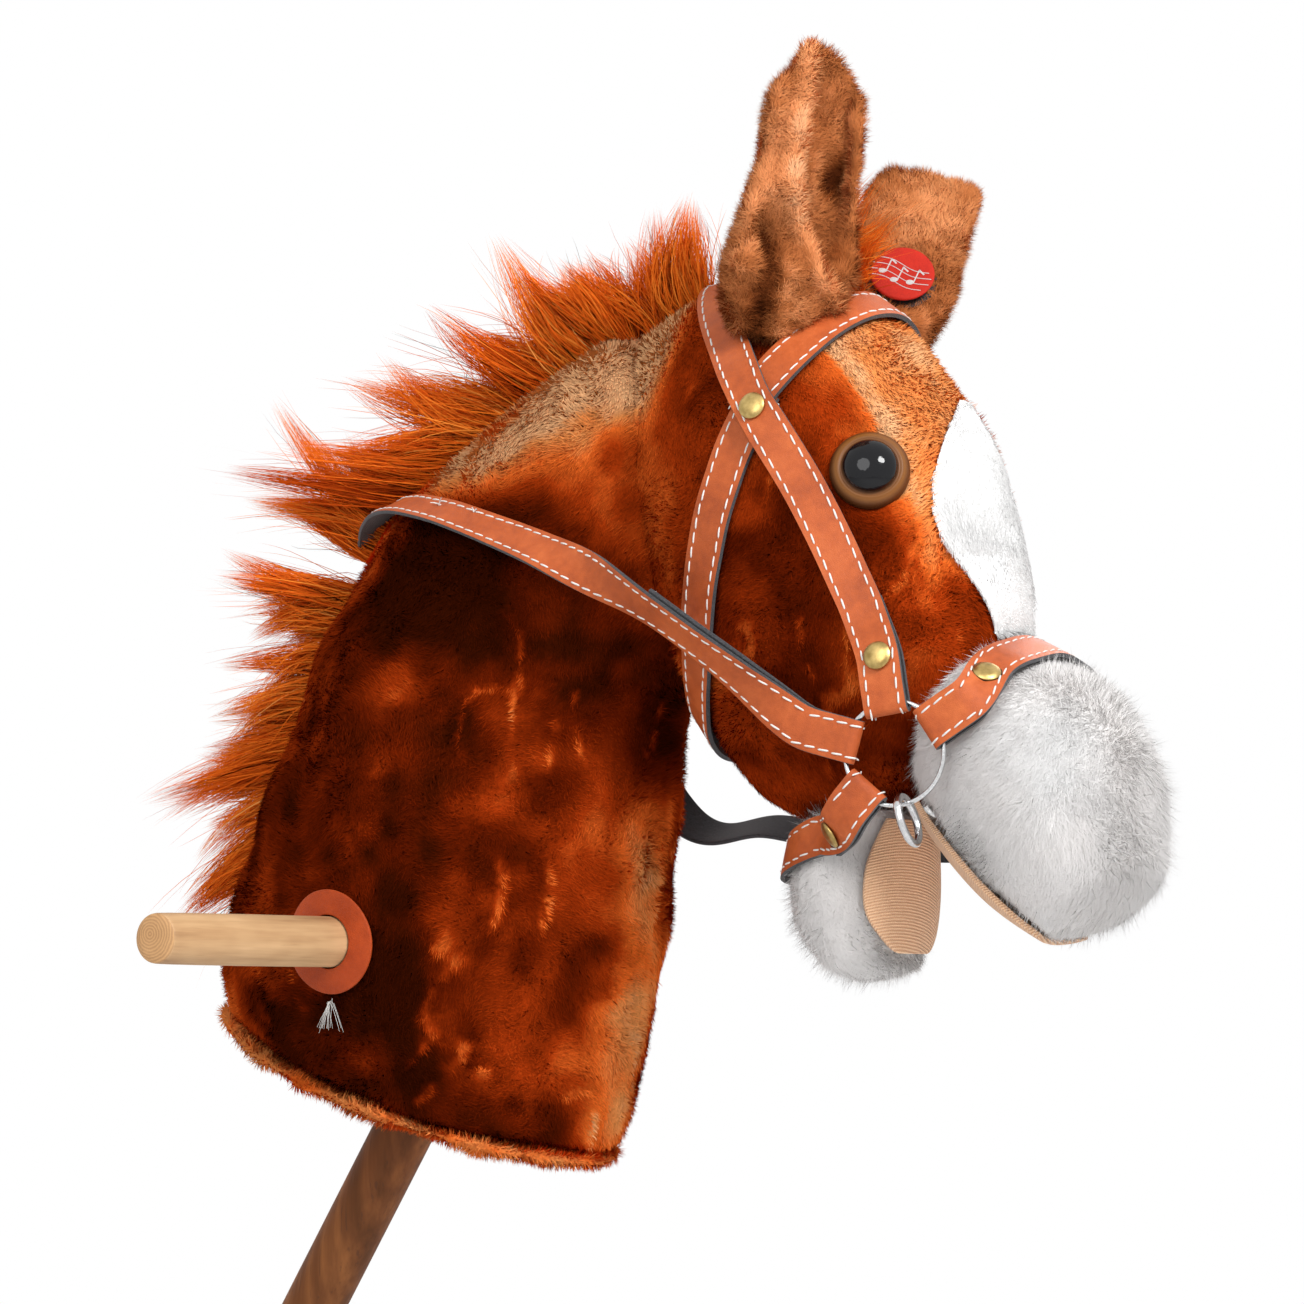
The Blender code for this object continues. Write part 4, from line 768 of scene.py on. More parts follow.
def white_tone(places, normals):
    return 0.84 + 0.07 * wander(places, 0.022, 71) + 0.06 * wander(places, 0.008, 72)


NOSTRILS = place((330, 146, -30), (330, 146, 30))


def muzzle_swell(places, normals):
    dimple = np.minimum(*(np.linalg.norm(places - n, axis=1) for n in NOSTRILS))
    swell = 0.0009 * wander(places, 0.020, 14) - 0.0022 * bump(dimple, 0, 0.010)
    return swell - 0.0022


def muzzle_lie(places, normals):
    ahead = places - place((300, 150))[0]
    return drift(places, 0.030, 81) * 0.9 + unit(ahead) * 0.2 + (-0.25, 0.0, -0.75)


blaze = stuffed(
    "blaze_panel", "blaze_plush", 0.0015, soft_swell, blaze_tone, white_cloth, 3)
pile(
    "blaze_pile", blaze, 5.0, lambda p: np.full(len(p), SHORT_PILE), 0.00036,
    lambda p, n: down_face(p, 65, 2.0), blaze_tone, white_fur, "white_plush", 8,
    bare=(bodies["head"],), stops=tree_of("noseband"), rise=0.30, rough=0.03, stir=0.12,
)
by_mouth = {
    "bare": (bodies["head"],),
    "stops": over_fur,
    "under": tree_of("upper_mouth_lining", "lower_mouth_lining"),
}
muzzle = stuffed(
    "upper_muzzle", "muzzle_plush", 0.003, muzzle_swell, muzzle_tone, white_cloth)
pile(
    "muzzle_pile", muzzle, 4.0, lambda p: 0.0056 + 0.0012 * wander(p, 0.012, 90), 0.00032,
    muzzle_lie, muzzle_tone, white_fur, "white_plush", 9,
    rise=0.28, rough=0.04, stir=0.16, **by_mouth,
)
jaw = stuffed("lower_jaw", "jaw_plush", 0.003, muzzle_swell, muzzle_tone, white_cloth)
pile(
    "jaw_pile", jaw, 4.0, lambda p: 0.0056 + 0.0010 * wander(p, 0.012, 91), 0.00032,
    lambda p, n: drift(p, 0.024, 84) + (0.25, 0, -0.75),
    muzzle_tone, white_fur, "white_plush", 10,
    rise=0.30, rough=0.04, stir=0.16, **by_mouth,
)
for name, cloth, seed in (("muzzle_fuzz", muzzle, 15), ("jaw_fuzz", jaw, 16)):
    pile(
        name, cloth, 0.45, lambda p: 0.0080 + 0.0015 * wander(p, 0.010, 88), 0.00024,
        muzzle_lie, muzzle_tone, white_fur, "white_plush", seed,
        rise=0.75, rough=0.05, stir=0.35, **by_mouth,
    )

# Mouth linings
# Tan tricot with fine ribs, sewn under the muzzle and on the front of the jaw. The ribs run across
# each panel in slightly slanting rows.

lining = Finish("lining_tricot")
ribs = lining.node("Mapping", {}, {"Vector": lining.here(), "Rotation": (0.15, 0.55, 0)})
rows, knit = (
    lining.node(
        "TexWave", {"bands_direction": way},
        {"Vector": ribs, "Scale": scale, "Distortion": wobble, "Detail": 1},
    )
    for way, scale, wobble in (("Z", 340, 0.6), ("Y", 330, 1.5))
)
fuzz = lining.noise(500, 3, 0.6)
lining.wear(
    Base_Color=lining.ramp(
        rows * 0.7 + knit * 0.15 + fuzz * 0.15,
        (0.15, (0.672, 0.350, 0.196)), (0.80, (0.950, 0.616, 0.371)),
    ),
    Roughness=0.85,
    Sheen_Weight=0.2,
    Normal=lining.bump(rows * 0.75 + knit * 0.25, 0.00045),
)
for node in ("upper_mouth_lining", "lower_mouth_lining"):
    rounded(node, node + "_cloth", 0.0007, lining, sharp=50)

# Ears
# Stuffed leaves of curly tan pile, folded forward about a hollow. The fold's hollow and the crease
# below it are darkened with painted shade, and the edges stand up ragged.

TAN_STOPS = (
    (0.00, (0.090, 0.021, 0.0060)),
    (0.30, (0.315, 0.084, 0.022)),
    (0.55, (0.600, 0.198, 0.063)),
    (0.78, (0.930, 0.383, 0.154)),
    (1.00, (0.930, 0.560, 0.310)),
)
tan_fur = fur_finish("tan_pile", TAN_STOPS, 0.65, 0.04, (0.9, 0.5, 0.25), 0.30)
tan_cloth = cloth_finish("tan_cloth", TAN_STOPS, 0.55, 0.85)
# Each ear's root, the way it grows and the way it looks.
EAR_LINES = {
    "right": ((201, 309, -34), (0.27, -0.11, 0.96), (0.80, -0.55, -0.25)),
    "left": ((208, 306, 34), (0.03, 0.50, 0.86), (0.47, -0.72, 0.50)),
}
EAR_HOLLOW_UP = 0.064
BADGE_UP, BADGE_EDGE, BADGE_RING = 0.038, 0.0130, 0.0172
under_badge = tree_of("button_patch")
for side, (root, along, looks) in EAR_LINES.items():
    root, along, looks = place(root)[0], unit(np.array(along)), np.array(looks)
    looks = unit(looks - along * (looks @ along))
    aside = np.cross(along, looks)
    folded = side == "right"

    def ear_at(places):
        """Places counted up the ear, across it and out of its front."""
        return (places - root) @ along, (places - root) @ aside, (places - root) @ looks

    def fold(places, normals):
        """The right ear's fold: the distance from its ridge, how far a place is inside the hollow,
        and the nearness to the crease below."""
        up, off, _ = ear_at(places)
        heights = (0.0, 0.016, 0.029, 0.048, 0.070, 0.094)
        ridge_at = np.interp(up, heights, (0.025, 0.020, 0.008, -0.0034, -0.0087, -0.0079))
        front = np.clip(normals @ looks * 2, 0, 1)
        inside = (1 - bump(off - ridge_at, 0.001, 0.008)) * front * (1 - bump(up, 0.018, 0.036))
        crease_at = np.interp(up, (-0.005, 0.012, 0.029, 0.047), (-0.010, -0.012, -0.012, -0.017))
        crease = bump(np.abs(off - crease_at), 0.0005, 0.007) * bump(up, 0.040, 0.052) * front
        return off - ridge_at, inside, crease

    def ear_swell(places, normals):
        up, off, _ = ear_at(places)
        swell = 0.0016 * wander(places, 0.016, 15) - 0.0022
        if folded:
            ridge, inside, crease = fold(places, normals)
            deep = bump(np.abs(up - EAR_HOLLOW_UP), 0.022, 0.046)
            deep *= bump(np.abs(off - 0.008), 0.008, 0.017)
            above_foot = (normals @ looks > 0) * (1 - bump(up, 0.0, 0.02))
            swell += 0.0034 * bump(np.abs(ridge), 0.001, 0.006) * above_foot
            swell -= 0.0085 * inside * deep + 0.0050 * crease
            swell += 0.0028 * bump(np.abs(up - 0.088), 0.006, 0.030) * np.clip(-normals @ aside, 0, 1)
        else:
            seat = np.hypot(up - BADGE_UP, off)
            front = np.clip(normals @ looks * 2, 0, 1)
            swell += 0.0036 * bump(np.abs(seat - BADGE_RING), 0.003, 0.009) * front
            swell -= 0.0018 * bump(seat, 0.0115, BADGE_EDGE) * front
            swell += 0.0085 * np.clip(-normals @ aside, 0, 1) * (1 - bump(up, 0.020, 0.050))
            swell += 0.0070 * np.clip(normals @ along, 0, 1) * (1 - bump(up, 0.040, 0.060))
        return swell

    def ear_tone(places, normals):
        up, off, _ = ear_at(places)
        tone = 0.57 + 0.10 * wander(places, 0.020, 92) + 0.09 * wander(places, 0.007, 93)
        curls = wander(places, 0.0032, 99) * (0.10 + 0.14 * bump(up, 0.020, 0.050))
        tone += curls + 0.10 - 0.20 * bump(up, 0.010, 0.060)
        if folded:
            ridge, inside, crease = fold(places, normals)
            # Painted shade in the right ear's hollow, darkest at its deepest spot and in the crease
            # below it.
            spot = bump(np.hypot(off - 0.012, (up - 0.066) * 0.5), 0.001, 0.0075) * inside
            bright = 0.14 * bump(np.abs(ridge), 0.001, 0.005)
            tone += bright - 0.15 * inside - 0.55 * spot - 0.42 * crease
        else:
            tone -= 0.12 * bump(off, -0.020, 0.000) + 0.12 * bump(np.abs(up - 0.035), 0.012, 0.034)
        return tone

    def ear_lie(places, normals):
        return drift(places, 0.010, 94) * 1.2 + along * 0.45

    def ear_long(places):
        long = 0.0046 + 0.0012 * wander(places, 0.006, 97)
        up, off, ahead = ear_at(places)
        if not folded:
            long *= 1 - bump(np.hypot(up - BADGE_UP, off), 0.0128, 0.0145) * (ahead > 0)
        return long

    ear = stuffed(
        "ear_" + side, "ear_plush_" + side, 0.0024, ear_swell, ear_tone, tan_cloth, 4)
    pile(
        "ear_pile_" + side, ear, 5.5, ear_long, 0.00032, ear_lie, ear_tone, tan_fur,
        "tan_plush", 11 + (side == "left"),
        bare=(bodies["head"],), stops=over_fur, under=under_badge, rise=0.85, stir=0.55, light=1.0,
    )

# Mane and forelock
# Long orange pile on a strip of its own, sewn into the crest from the crown strap down, and parted
# where the rein lies. The hairs cling together in pointed locks, and single ones stray.

MANE_STOPS = (
    (0.00, (0.297, 0.041, 0.0041)),
    (0.30, (0.690, 0.095, 0.0081)),
    (0.55, (0.950, 0.195, 0.016)),
    (0.80, (0.950, 0.310, 0.045)),
    (1.00, (0.950, 0.560, 0.200)),
)
ACROSS = np.array([0.0, 1.0, 0.0])
mane_fur = fur_finish("mane_hair", MANE_STOPS, 0.45, 0.04, (1.0, 0.5, 0.2), 0.45)


def run_along(line, share):
    """Places along a line of points for shares from 0 to 1, and the ways along it and out of it."""
    steps = np.linalg.norm(np.diff(line, axis=0), axis=1)
    gone = np.concatenate([[0], np.cumsum(steps)]) / steps.sum()
    spot, ahead, back = (
        np.stack([np.interp(np.clip(share + d, 0, 1), gone, line[:, k]) for k in range(3)], 1)
        for d in (0, 0.02, -0.02)
    )
    along = unit(ahead - back)
    out = unit(np.cross(along, ACROSS))
    return spot, along, out * np.sign(out @ np.array([-0.5, 0, 0.85]))[:, None]


def locks(name, line, wide, out_by, lean_by, long_by, count, groups, seed, node, droop, spread=1.0):
    """Long hairs in pointed locks along a line. out_by, lean_by and long_by give, from the line's
    first end to its last, the hairs' tilt out, along the line and their length."""
    rng = np.random.default_rng(seed)
    steps = 7
    share = np.sort(rng.random(groups))
    first, along, out = run_along(line, share)
    ends = np.linspace(0, 1, len(long_by))
    aside = np.clip(rng.normal(0, 0.5, groups), -1, 1)

    def tilt(share, out, along, aside, noise):
        way = out * np.interp(share, ends, out_by)[:, None]
        way = way + along * np.interp(share, ends, lean_by)[:, None]
        way = way + ACROSS * (aside * spread)[:, None]
        return unit(way + noise)

    lock_way = tilt(share, out, along, aside * 0.6, rng.normal(0, 0.16, (groups, 3)))
    lock_long = np.interp(share, ends, long_by) * rng.uniform(0.72, 1.08, groups)
    curl = rng.normal(0, 0.16, (groups, 3))
    whose = rng.integers(0, groups, count)
    near = np.clip(share[whose] + rng.normal(0, 0.028, count), 0, 1)
    spot, along, out = run_along(line, near)
    off = np.clip(aside[whose] + rng.normal(0, 0.38, count), -1.15, 1.15)
    roots = spot + ACROSS * (off * wide)[:, None]
    body = tree_of("neck", "head")
    for i in range(count):
        hit = body.find_nearest(roots[i])
        roots[i] = np.array(hit[0]) - np.array(hit[1]) * 0.001
    own_way = tilt(near, out, along, off * 0.8, rng.normal(0, 0.20, (count, 3)))
    stray = rng.random(count) < 0.06
    lengths = lock_long[whose] * rng.uniform(0.55, 1.05, count)
    lengths[stray] *= 1.12
    lock_way, lock_root = lock_way[whose], first[whose]
    t = np.linspace(0, 1, steps + 1)[None, :, None]
    bend = curl[whose][:, None, :] * t**2 + np.array([0, 0, -droop]) * t**2
    own = roots[:, None, :] + (own_way[:, None, :] * t + bend) * lengths[:, None, None]
    lock = lock_root[:, None, :] + (lock_way[:, None, :] * t + bend) * lengths[:, None, None]
    cling = t**1.3 * np.where(stray, 0.25, 0.86)[:, None, None]
    paths = own * (1 - cling) + lock * cling
    wave = rng.normal(0, 1, (count, 3)) * 0.0010
    paths = paths + wave[:, None, :] * np.sin(t * 5)
    ways = unit(paths[:, -1] - paths[:, 0])
    outward = unit(own_way + rng.normal(0, 0.5, (count, 3)))
    sides = unit(np.cross(ways, outward))
    facing = unit(np.cross(sides, ways) + rng.normal(0, 0.25, (count, 3)))
    facing *= np.sign((facing * outward).sum(1))[:, None]
    tones = 0.52 + 0.12 * wander(roots, 0.012, 98) + 0.16 * rng.normal(0, 0.6, groups)[whose]
    tones += rng.normal(0, 0.10, count)
    made = strands(name, paths, np.full(count, 0.00048), sides, tones, facing, mane_fur)
    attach(made, "horse")
    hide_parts(node)


UPPER_CREST = place((-28, 252), (5, 262), (54, 298), (106, 325), (150, 340))
LOWER_CREST = place((-76, 98), (-66, 118), (-47, 162), (-30, 205), (-24, 232))
locks("mane_upper_hair", UPPER_CREST, 0.013, (1.0, 0.9, 0.9, 1.0, 1.0), (-1.0, -0.9, -0.7, -0.15, 0.1),
      (0.052, 0.066, 0.066, 0.058, 0.046), 13000, 52, 3, "mane_upper", 0.12)
locks("mane_lower_hair", LOWER_CREST, 0.012, (0.8, 1.0, 1.0, 1.0), (-1.2, -0.75, -0.35, 0.0),
      (0.052, 0.055, 0.060, 0.052), 11000, 42, 4, "mane_lower", 0.25)
FORELOCK = place((176, 345), (196, 340), (214, 328))
locks("forelock_hair", FORELOCK, 0.012, (0.9, 0.9, 1.0), (0.75, 0.60, 0.20),
      (0.050, 0.044, 0.020), 3200, 18, 5, "forelock", 0.10, 1.2)

# Bridle straps
# Red-brown leatherette on black felt, sewn along both edges with white thread, with a few thread
# ends left loose. Each strap end is folded round a ring or lies under its neighbour.

leather = Finish("strap_leatherette")
creases = leather.noise(260, 4, 0.65)
cloudy = leather.noise(45, 3, 0.5)
hide = leather.ramp(
    cloudy * 0.6 + creases * 0.4,
    (0.30, (0.320, 0.058, 0.013)),
    (0.52, (0.490, 0.100, 0.023)),
    (0.75, (0.650, 0.158, 0.042)),
)
leather.wear(
    Base_Color=hide,
    Roughness=0.38 + creases * 0.18,
    Normal=leather.bump(leather.cells(1500).fade(0.0, 0.2) * 0.6 + creases * 0.4, 0.00008),
    Specular_IOR_Level=0.28,
)
felt, fibres = mottled(
    "strap_felt", (1400, 4, 0.75), (0.35, (0.012, 0.012, 0.014)), (0.70, (0.070, 0.070, 0.078)))
felt.wear(Roughness=0.95, Normal=felt.bump(fibres, 0.0003), Sheen_Weight=0.2)
thread, ply = mottled(
    "strap_thread", (2600, 2, 0.6), (0.30, (0.62, 0.60, 0.57)), (0.70, (0.88, 0.87, 0.84)))
thread.wear(Roughness=0.7, Normal=thread.bump(ply, 0.00010))
under_straps = tree_of(*bodies)


def sides_of(bm, sharp):
    """A number for each face. Faces that are joined by edges flatter than sharp have the same."""
    number = {}
    for face in bm.faces:
        if face in number:
            continue
        number[face] = len(number) + 1
        queue = [face]
        while queue:
            for edge in queue.pop().edges:
                if len(edge.link_faces) == 2 and edge.calc_face_angle() < sharp:
                    fresh = [other for other in edge.link_faces if other not in number]
                    number.update((other, number[face]) for other in fresh)
                    queue += fresh
    return number


def longest_line(rim):
    """The longest closed line of a rim, as (corner, way out of the face beside it, its middle)."""
    loops = []
    left = set(rim)
    while left:
        here = min(left, key=lambda v: v.index)
        left.remove(here)
        loop = [(here.co.copy(), rim[here][0][1])]
        while True:
            onward = [(v, f) for v, f in rim[here] if v in left]
            if not onward:
                break
            here, face = onward[0]
            left.discard(here)
            loop.append((here.co.copy(), face))
        loops.append(loop)
    longest = max(loops, key=lambda line: sum((a[0] - b[0]).length for a, b in zip(line, line[1:])))
    return [(co, face.normal.copy(), face.calc_center_median()) for co, face in longest]


def strap(node):
    """The strap in a solid's place, with its felt back and broken edges, and its edge's line."""
    made = copy_of(node, node + "_leather")
    bm = bmesh.new()
    bm.from_mesh(made.data)
    number = sides_of(bm, math.radians(62))
    area, outer = {}, {}
    for face, label in number.items():
        size = face.calc_area()
        middle = face.calc_center_median()
        hit = under_straps.find_nearest(middle)
        area[label] = area.get(label, 0) + size
        outer[label] = outer.get(label, 0) + size * face.normal.dot((middle - hit[0]).normalized())
    largest = sorted(area, key=area.get)[-2:]
    top = max(largest, key=outer.get)
    weights = bm.edges.layers.float.new("bevel_weight_edge")
    rim = {}
    for edge in bm.edges:
        labels = {number[f] for f in edge.link_faces}
        if len(labels) < 2:
            continue
        edge[weights] = 1
        if top in labels:
            face = next(f for f in edge.link_faces if number[f] == top)
            a, b = edge.verts
            rim.setdefault(a, []).append((b, face))
            rim.setdefault(b, []).append((a, face))
    for face in bm.faces:
        face.material_index = 0 if number[face] == top else 1
    line = longest_line(rim)
    bm.to_mesh(made.data)
    bm.free()
    made.data.materials.append(leather.material)
    made.data.materials.append(felt.material)
    eased(made, 0.00042, "WEIGHT", 2)
    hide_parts(node)
    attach(made, "horse")
    return made, line


STITCH_PITCH, STITCH_LONG, STITCH_IN = 0.0056, 0.0044, 0.0024
THREAD_WIDE, THREAD_HIGH, THREAD_PROUD, THREAD_DIP = 0.00040, 0.00032, 0.00012, 0.0007


def stitches(node, made, line):
    """White stitches sunk a little in the leather, along the line of the strap's edge."""
    surface = tree_of(made)
    corners, faces = [], []
    sides, girths = 6, ((-0.5, 0.35), (-0.36, 0.9), (0.0, 1.0), (0.36, 0.9), (0.5, 0.35))
    gone, wanted = 0.0, STITCH_PITCH / 2
    for (a, out, middle), (b, _, _) in zip(line, line[1:] + line[:1]):
        step = b - a
        if step.length > 0.03:
            continue
        while wanted < gone + step.length:
            spot = a + step * ((wanted - gone) / step.length)
            wanted += STITCH_PITCH
            way = step.normalized()
            inward = way.cross(out).normalized()
            if inward.dot(middle - spot) < 0:
                inward = -inward
            hit = surface.find_nearest(spot + inward * STITCH_IN)
            up = hit[1]
            hidden = under_straps.ray_cast(hit[0] + up * 0.0003, up, 0.003)[0] is not None
            if up.dot(out) < 0.5 or hidden:
                continue
            way = (way + inward * 0.10).normalized()
            across = way.cross(up).normalized()
            start = len(corners)
            for along, size in girths:
                lift = THREAD_PROUD - THREAD_DIP * abs(along) ** 2
                for k in range(sides):
                    turn = 2 * math.pi * k / sides
                    corners.append(
                        hit[0] + way * along * STITCH_LONG
                        + across * math.cos(turn) * THREAD_WIDE * size
                        + up * (math.sin(turn) * THREAD_HIGH * size + lift)
                    )
            last = start + (len(girths) - 1) * sides
            for ring, k in itertools.product(range(start, last, sides), range(sides)):
                n = (k + 1) % sides
                faces.append((ring + k, ring + n, ring + sides + n, ring + sides + k))
            faces.append(tuple(start + k for k in reversed(range(sides))))
            faces.append(tuple(last + k for k in range(sides)))
        gone += step.length
    mesh = bpy.data.meshes.new(node + "_stitches")
    mesh.from_pydata([tuple(c) for c in corners], [], faces)
    sewn = placed(node + "_stitches", mesh)
    closed(sewn)
    finished(sewn, thread.material)


for node in STRAPS:
    made, line = strap(node)
    stitches(node, made, line)

KNOTS = (  # foot, way it stands, length and tips
    (place((56.3, 253.8, -51.3))[0], (0.15, -0.45, 0.88), 0.0058, 2),
    (place((75.1, 249.4, -54.3))[0], (0.20, -0.50, 0.84), 0.0034, 2),
    (place((22.7, 56.0, -77.6))[0], (0.10, -0.22, -0.95), 0.0110, 14),
)
rng = np.random.default_rng(17)
for k, (foot, way, long, tips) in enumerate(KNOTS):
    curve = bpy.data.curves.new("loose_thread", "CURVE")
    curve.dimensions = "3D"
    curve.bevel_depth = 0.00036 if tips < 5 else 0.00010
    curve.bevel_resolution = 2
    for _ in range(tips):
        line = curve.splines.new("POLY")
        line.points.add(3)
        aim = unit(np.array(way) + rng.normal(0, 0.28, 3))
        off = rng.normal(0, 0.0008 if tips > 5 else 0.0002, 3)
        for n, point in enumerate(line.points):
            spot = foot + off + aim * long * n / 3 * rng.uniform(0.85, 1.1)
            point.co = (*(spot + np.array([0, 0, -0.0005]) * n * n / 3), 1)
            point.radius = 1 - 0.15 * n
    choose(placed(f"loose_thread_{k + 1}", curve))
    bpy.ops.object.convert(target="MESH")
    finished(bpy.context.object, thread.material)

# Cheek rings and the small rings on them
# Thin nickel-plated wire bent to a hoop and butt welded, with a thicker small ring that hangs from
# it. The plating is bright, with faint draw marks round the wire.

nickel, draw = mottled(
    "ring_nickel", (900, 3, 0.6), (0.3, (0.50, 0.50, 0.51)), (0.7, (0.72, 0.72, 0.72)))
nickel.wear(Metallic=1.0, Roughness=0.12 + draw * 0.16)
joints = {j["name"]: j for j in frame["joints"]}


def hoop(name, node, centre, normal, wire, weld_at):
    """A wire hoop about its middle, with the swelling of its weld. Its body has the node's name."""
    radius = np.linalg.norm(spots(node)[0] - centre, axis=1)
    middle = (radius.max() + radius.min()) / 2
    bpy.ops.mesh.primitive_torus_add(
        major_segments=96, minor_segments=14, major_radius=middle, minor_radius=wire)
    made = bpy.context.object
    made.name = name
    for v in made.data.vertices:
        turn = math.atan2(v.co.y, v.co.x)
        ring_at = Vector((math.cos(turn), math.sin(turn), 0)) * middle
        off = abs((turn - weld_at + math.pi) % (2 * math.pi) - math.pi) * middle
        weld = 0.22 * math.exp(-((off / (wire * 0.9)) ** 2))
        nick = 0.12 * math.exp(-((off / (wire * 0.25)) ** 2))
        v.co = ring_at + (v.co - ring_at) * (1 + weld - nick)
    turn = Vector(normal).to_track_quat("Z", "Y").to_matrix().to_4x4()
    made.data.transform(Matrix.Translation(Vector(centre)) @ turn)
    bpy.ops.object.shade_smooth()
    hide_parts(node)
    finished(made, nickel.material, node)


for side in SIDES:
    spin = joints[f"cheek_ring_{side}_spin"]
    hoop(f"cheek_hoop_{side}", f"cheek_ring_{side}", spin["pos_m"], spin["axis"], 0.0009, 2.4)
    swing = joints[f"bit_ring_{side}_swing"]
    low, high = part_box(f"bit_ring_{side}")
    hoop(f"bit_hoop_{side}", f"bit_ring_{side}", (low + high) / 2, swing["axis"], 0.0015, 0.6)

# Rivets
# Brass caps pressed through the straps, slightly domed, with bright tops and tarnish round their
# edges. Their shanks and burrs sit in the layers below.

brass, tarnish = mottled(
    "rivet_brass", (240, 4, 0.6), (0.30, (0.30, 0.200, 0.065)), (0.62, (0.56, 0.400, 0.150)))
hairlines = brass.noise(1500, 2, 0.6, (1, 1, 0.2))
brass.wear(
    Metallic=1.0,
    Roughness=0.24 + tarnish * 0.18 + hairlines * 0.06,
    Normal=brass.bump(hairlines, 0.00003),
)
for kind in ("brow", "cheek", "nose", "chin"):
    for side in SIDES:
        node = f"rivet_{kind}_{side}"
        rounded(node, f"stud_{kind}_{side}", 0.00022, brass, sharp=42)

# Eyes
# Moulded plastic domes with a black polished pupil in a matt golden-brown iris. A shank goes through
# the cloth to a washer inside the head.


def axis_of(node):
    """Middle and axis of a flat round solid."""
    places, _ = spots(node)
    middle = places.mean(0)
    return middle, np.linalg.svd(places - middle, full_matrices=False)[2][2]


for side in SIDES:
    centre, axis = axis_of("eye_washer_" + side)
    eye = Finish("eye_" + side)
    here = eye.node("VectorMath", {"operation": "SUBTRACT"}, {0: eye.here(), 1: tuple(centre)})
    depth = eye.node("VectorMath", {"operation": "DOT_PRODUCT"}, {0: here, 1: tuple(axis)}, "Value")
    far = eye.node("VectorMath", {"operation": "LENGTH"}, {0: here}, "Value")
    away = (far * far - depth * depth) ** 0.5
    cloudy = eye.noise(420, 3, 0.6)
    colour = eye.ramp(
        away * 50 + cloudy * 0.012,
        (0.500, (0.0058, 0.0058, 0.0072)),
        (0.520, (0.029, 0.010, 0.0029)),
        (0.560, (0.152, 0.052, 0.010)),
        (0.660, (0.217, 0.080, 0.016)),
        (0.730, (0.102, 0.032, 0.0072)),
        (0.790, (0.032, 0.012, 0.0043)),
    )
    pupil = 1 - (away * 50).fade(0.500, 0.520)
    eye.wear(
        Base_Color=colour, Roughness=0.40 - pupil * 0.36 + cloudy * 0.05, Specular_IOR_Level=0.27)
    ball = rounded("eye_" + side, "eye_dome_" + side, 0.0007, eye, levels=3)
    axis = axis * np.sign(axis[1] * centre[1])
    places, _ = spots(ball)
    outer = (places - centre) @ axis > 0.004
    radius = np.linalg.norm(places - centre - ((places - centre) @ axis)[:, None] * axis, axis=1)
    lens = 0.0036 * np.sqrt(np.clip(1 - (radius / 0.0104) ** 2, 0, 1))
    lens -= 0.0010 * bump(np.abs(radius - 0.0110), 0, 0.0012)
    places += axis * (lens * outer)[:, None]
    moved(ball, places)

washer, haze = mottled(
    "washer_plastic", (300, 2, 0.5), (0.3, (0.60, 0.60, 0.57)), (0.7, (0.72, 0.72, 0.69)))
washer.wear(Roughness=0.35 + haze * 0.2)
coated(washer, "eye_washer_right", "eye_washer_left")

# Sound unit in the left ear
# A black housing with its board, cells, switch and speaker, hidden in the stuffing. Pressing the red
# felt badge pushes the button plate under it.

red = Finish("badge_felt")
nap = red.noise(1300, 3, 0.7)
wash = red.noise(120, 3, 0.5)
reds = (0.32, (0.420, 0.011, 0.0028)), (0.70, (0.602, 0.022, 0.0070))
red.wear(
    Base_Color=red.ramp(nap * 0.5 + wash * 0.5, *reds),
    Roughness=0.72,
    Normal=red.bump(nap, 0.00016),
    Specular_IOR_Level=0.3,
)
rounded("button_patch", "ear_badge", 0.0004, red, "sound_button")
ink, _ = mottled("badge_print", (1500, 3, 0.6), (0.3, (0.50, 0.47, 0.46)), (0.7, (0.66, 0.63, 0.62)))
ink.wear(Roughness=0.6)
plate_mid, plate_axis = axis_of("button_patch")
plate_axis = plate_axis * np.sign(plate_axis @ np.array([0.471, -0.740, 0.480]))
level = (spots("button_patch")[0] @ plate_axis).max() - plate_mid @ plate_axis
print_turn = Vector(plate_axis).to_track_quat("Z", "Y").to_matrix().to_4x4()
STAVE_GAP, WAVE_STEP, WAVE_RISE, WAVE_TURN = 0.0030, 0.0019, 0.0010, 0.55
marks = bmesh.new()


def mark(x, y, scale, turn=0.0, dot=False):
    """Adds a bar or a dot to the print, before it is laid on the patch."""
    spin = Matrix.Rotation(turn, 3, "Z")
    laid = Matrix.LocRotScale(Vector((x, y, level)), spin, Vector(scale))
    if dot:
        bmesh.ops.create_uvsphere(marks, u_segments=16, v_segments=8, radius=1, matrix=laid)
    else:
        bmesh.ops.create_cube(marks, size=1, matrix=laid)


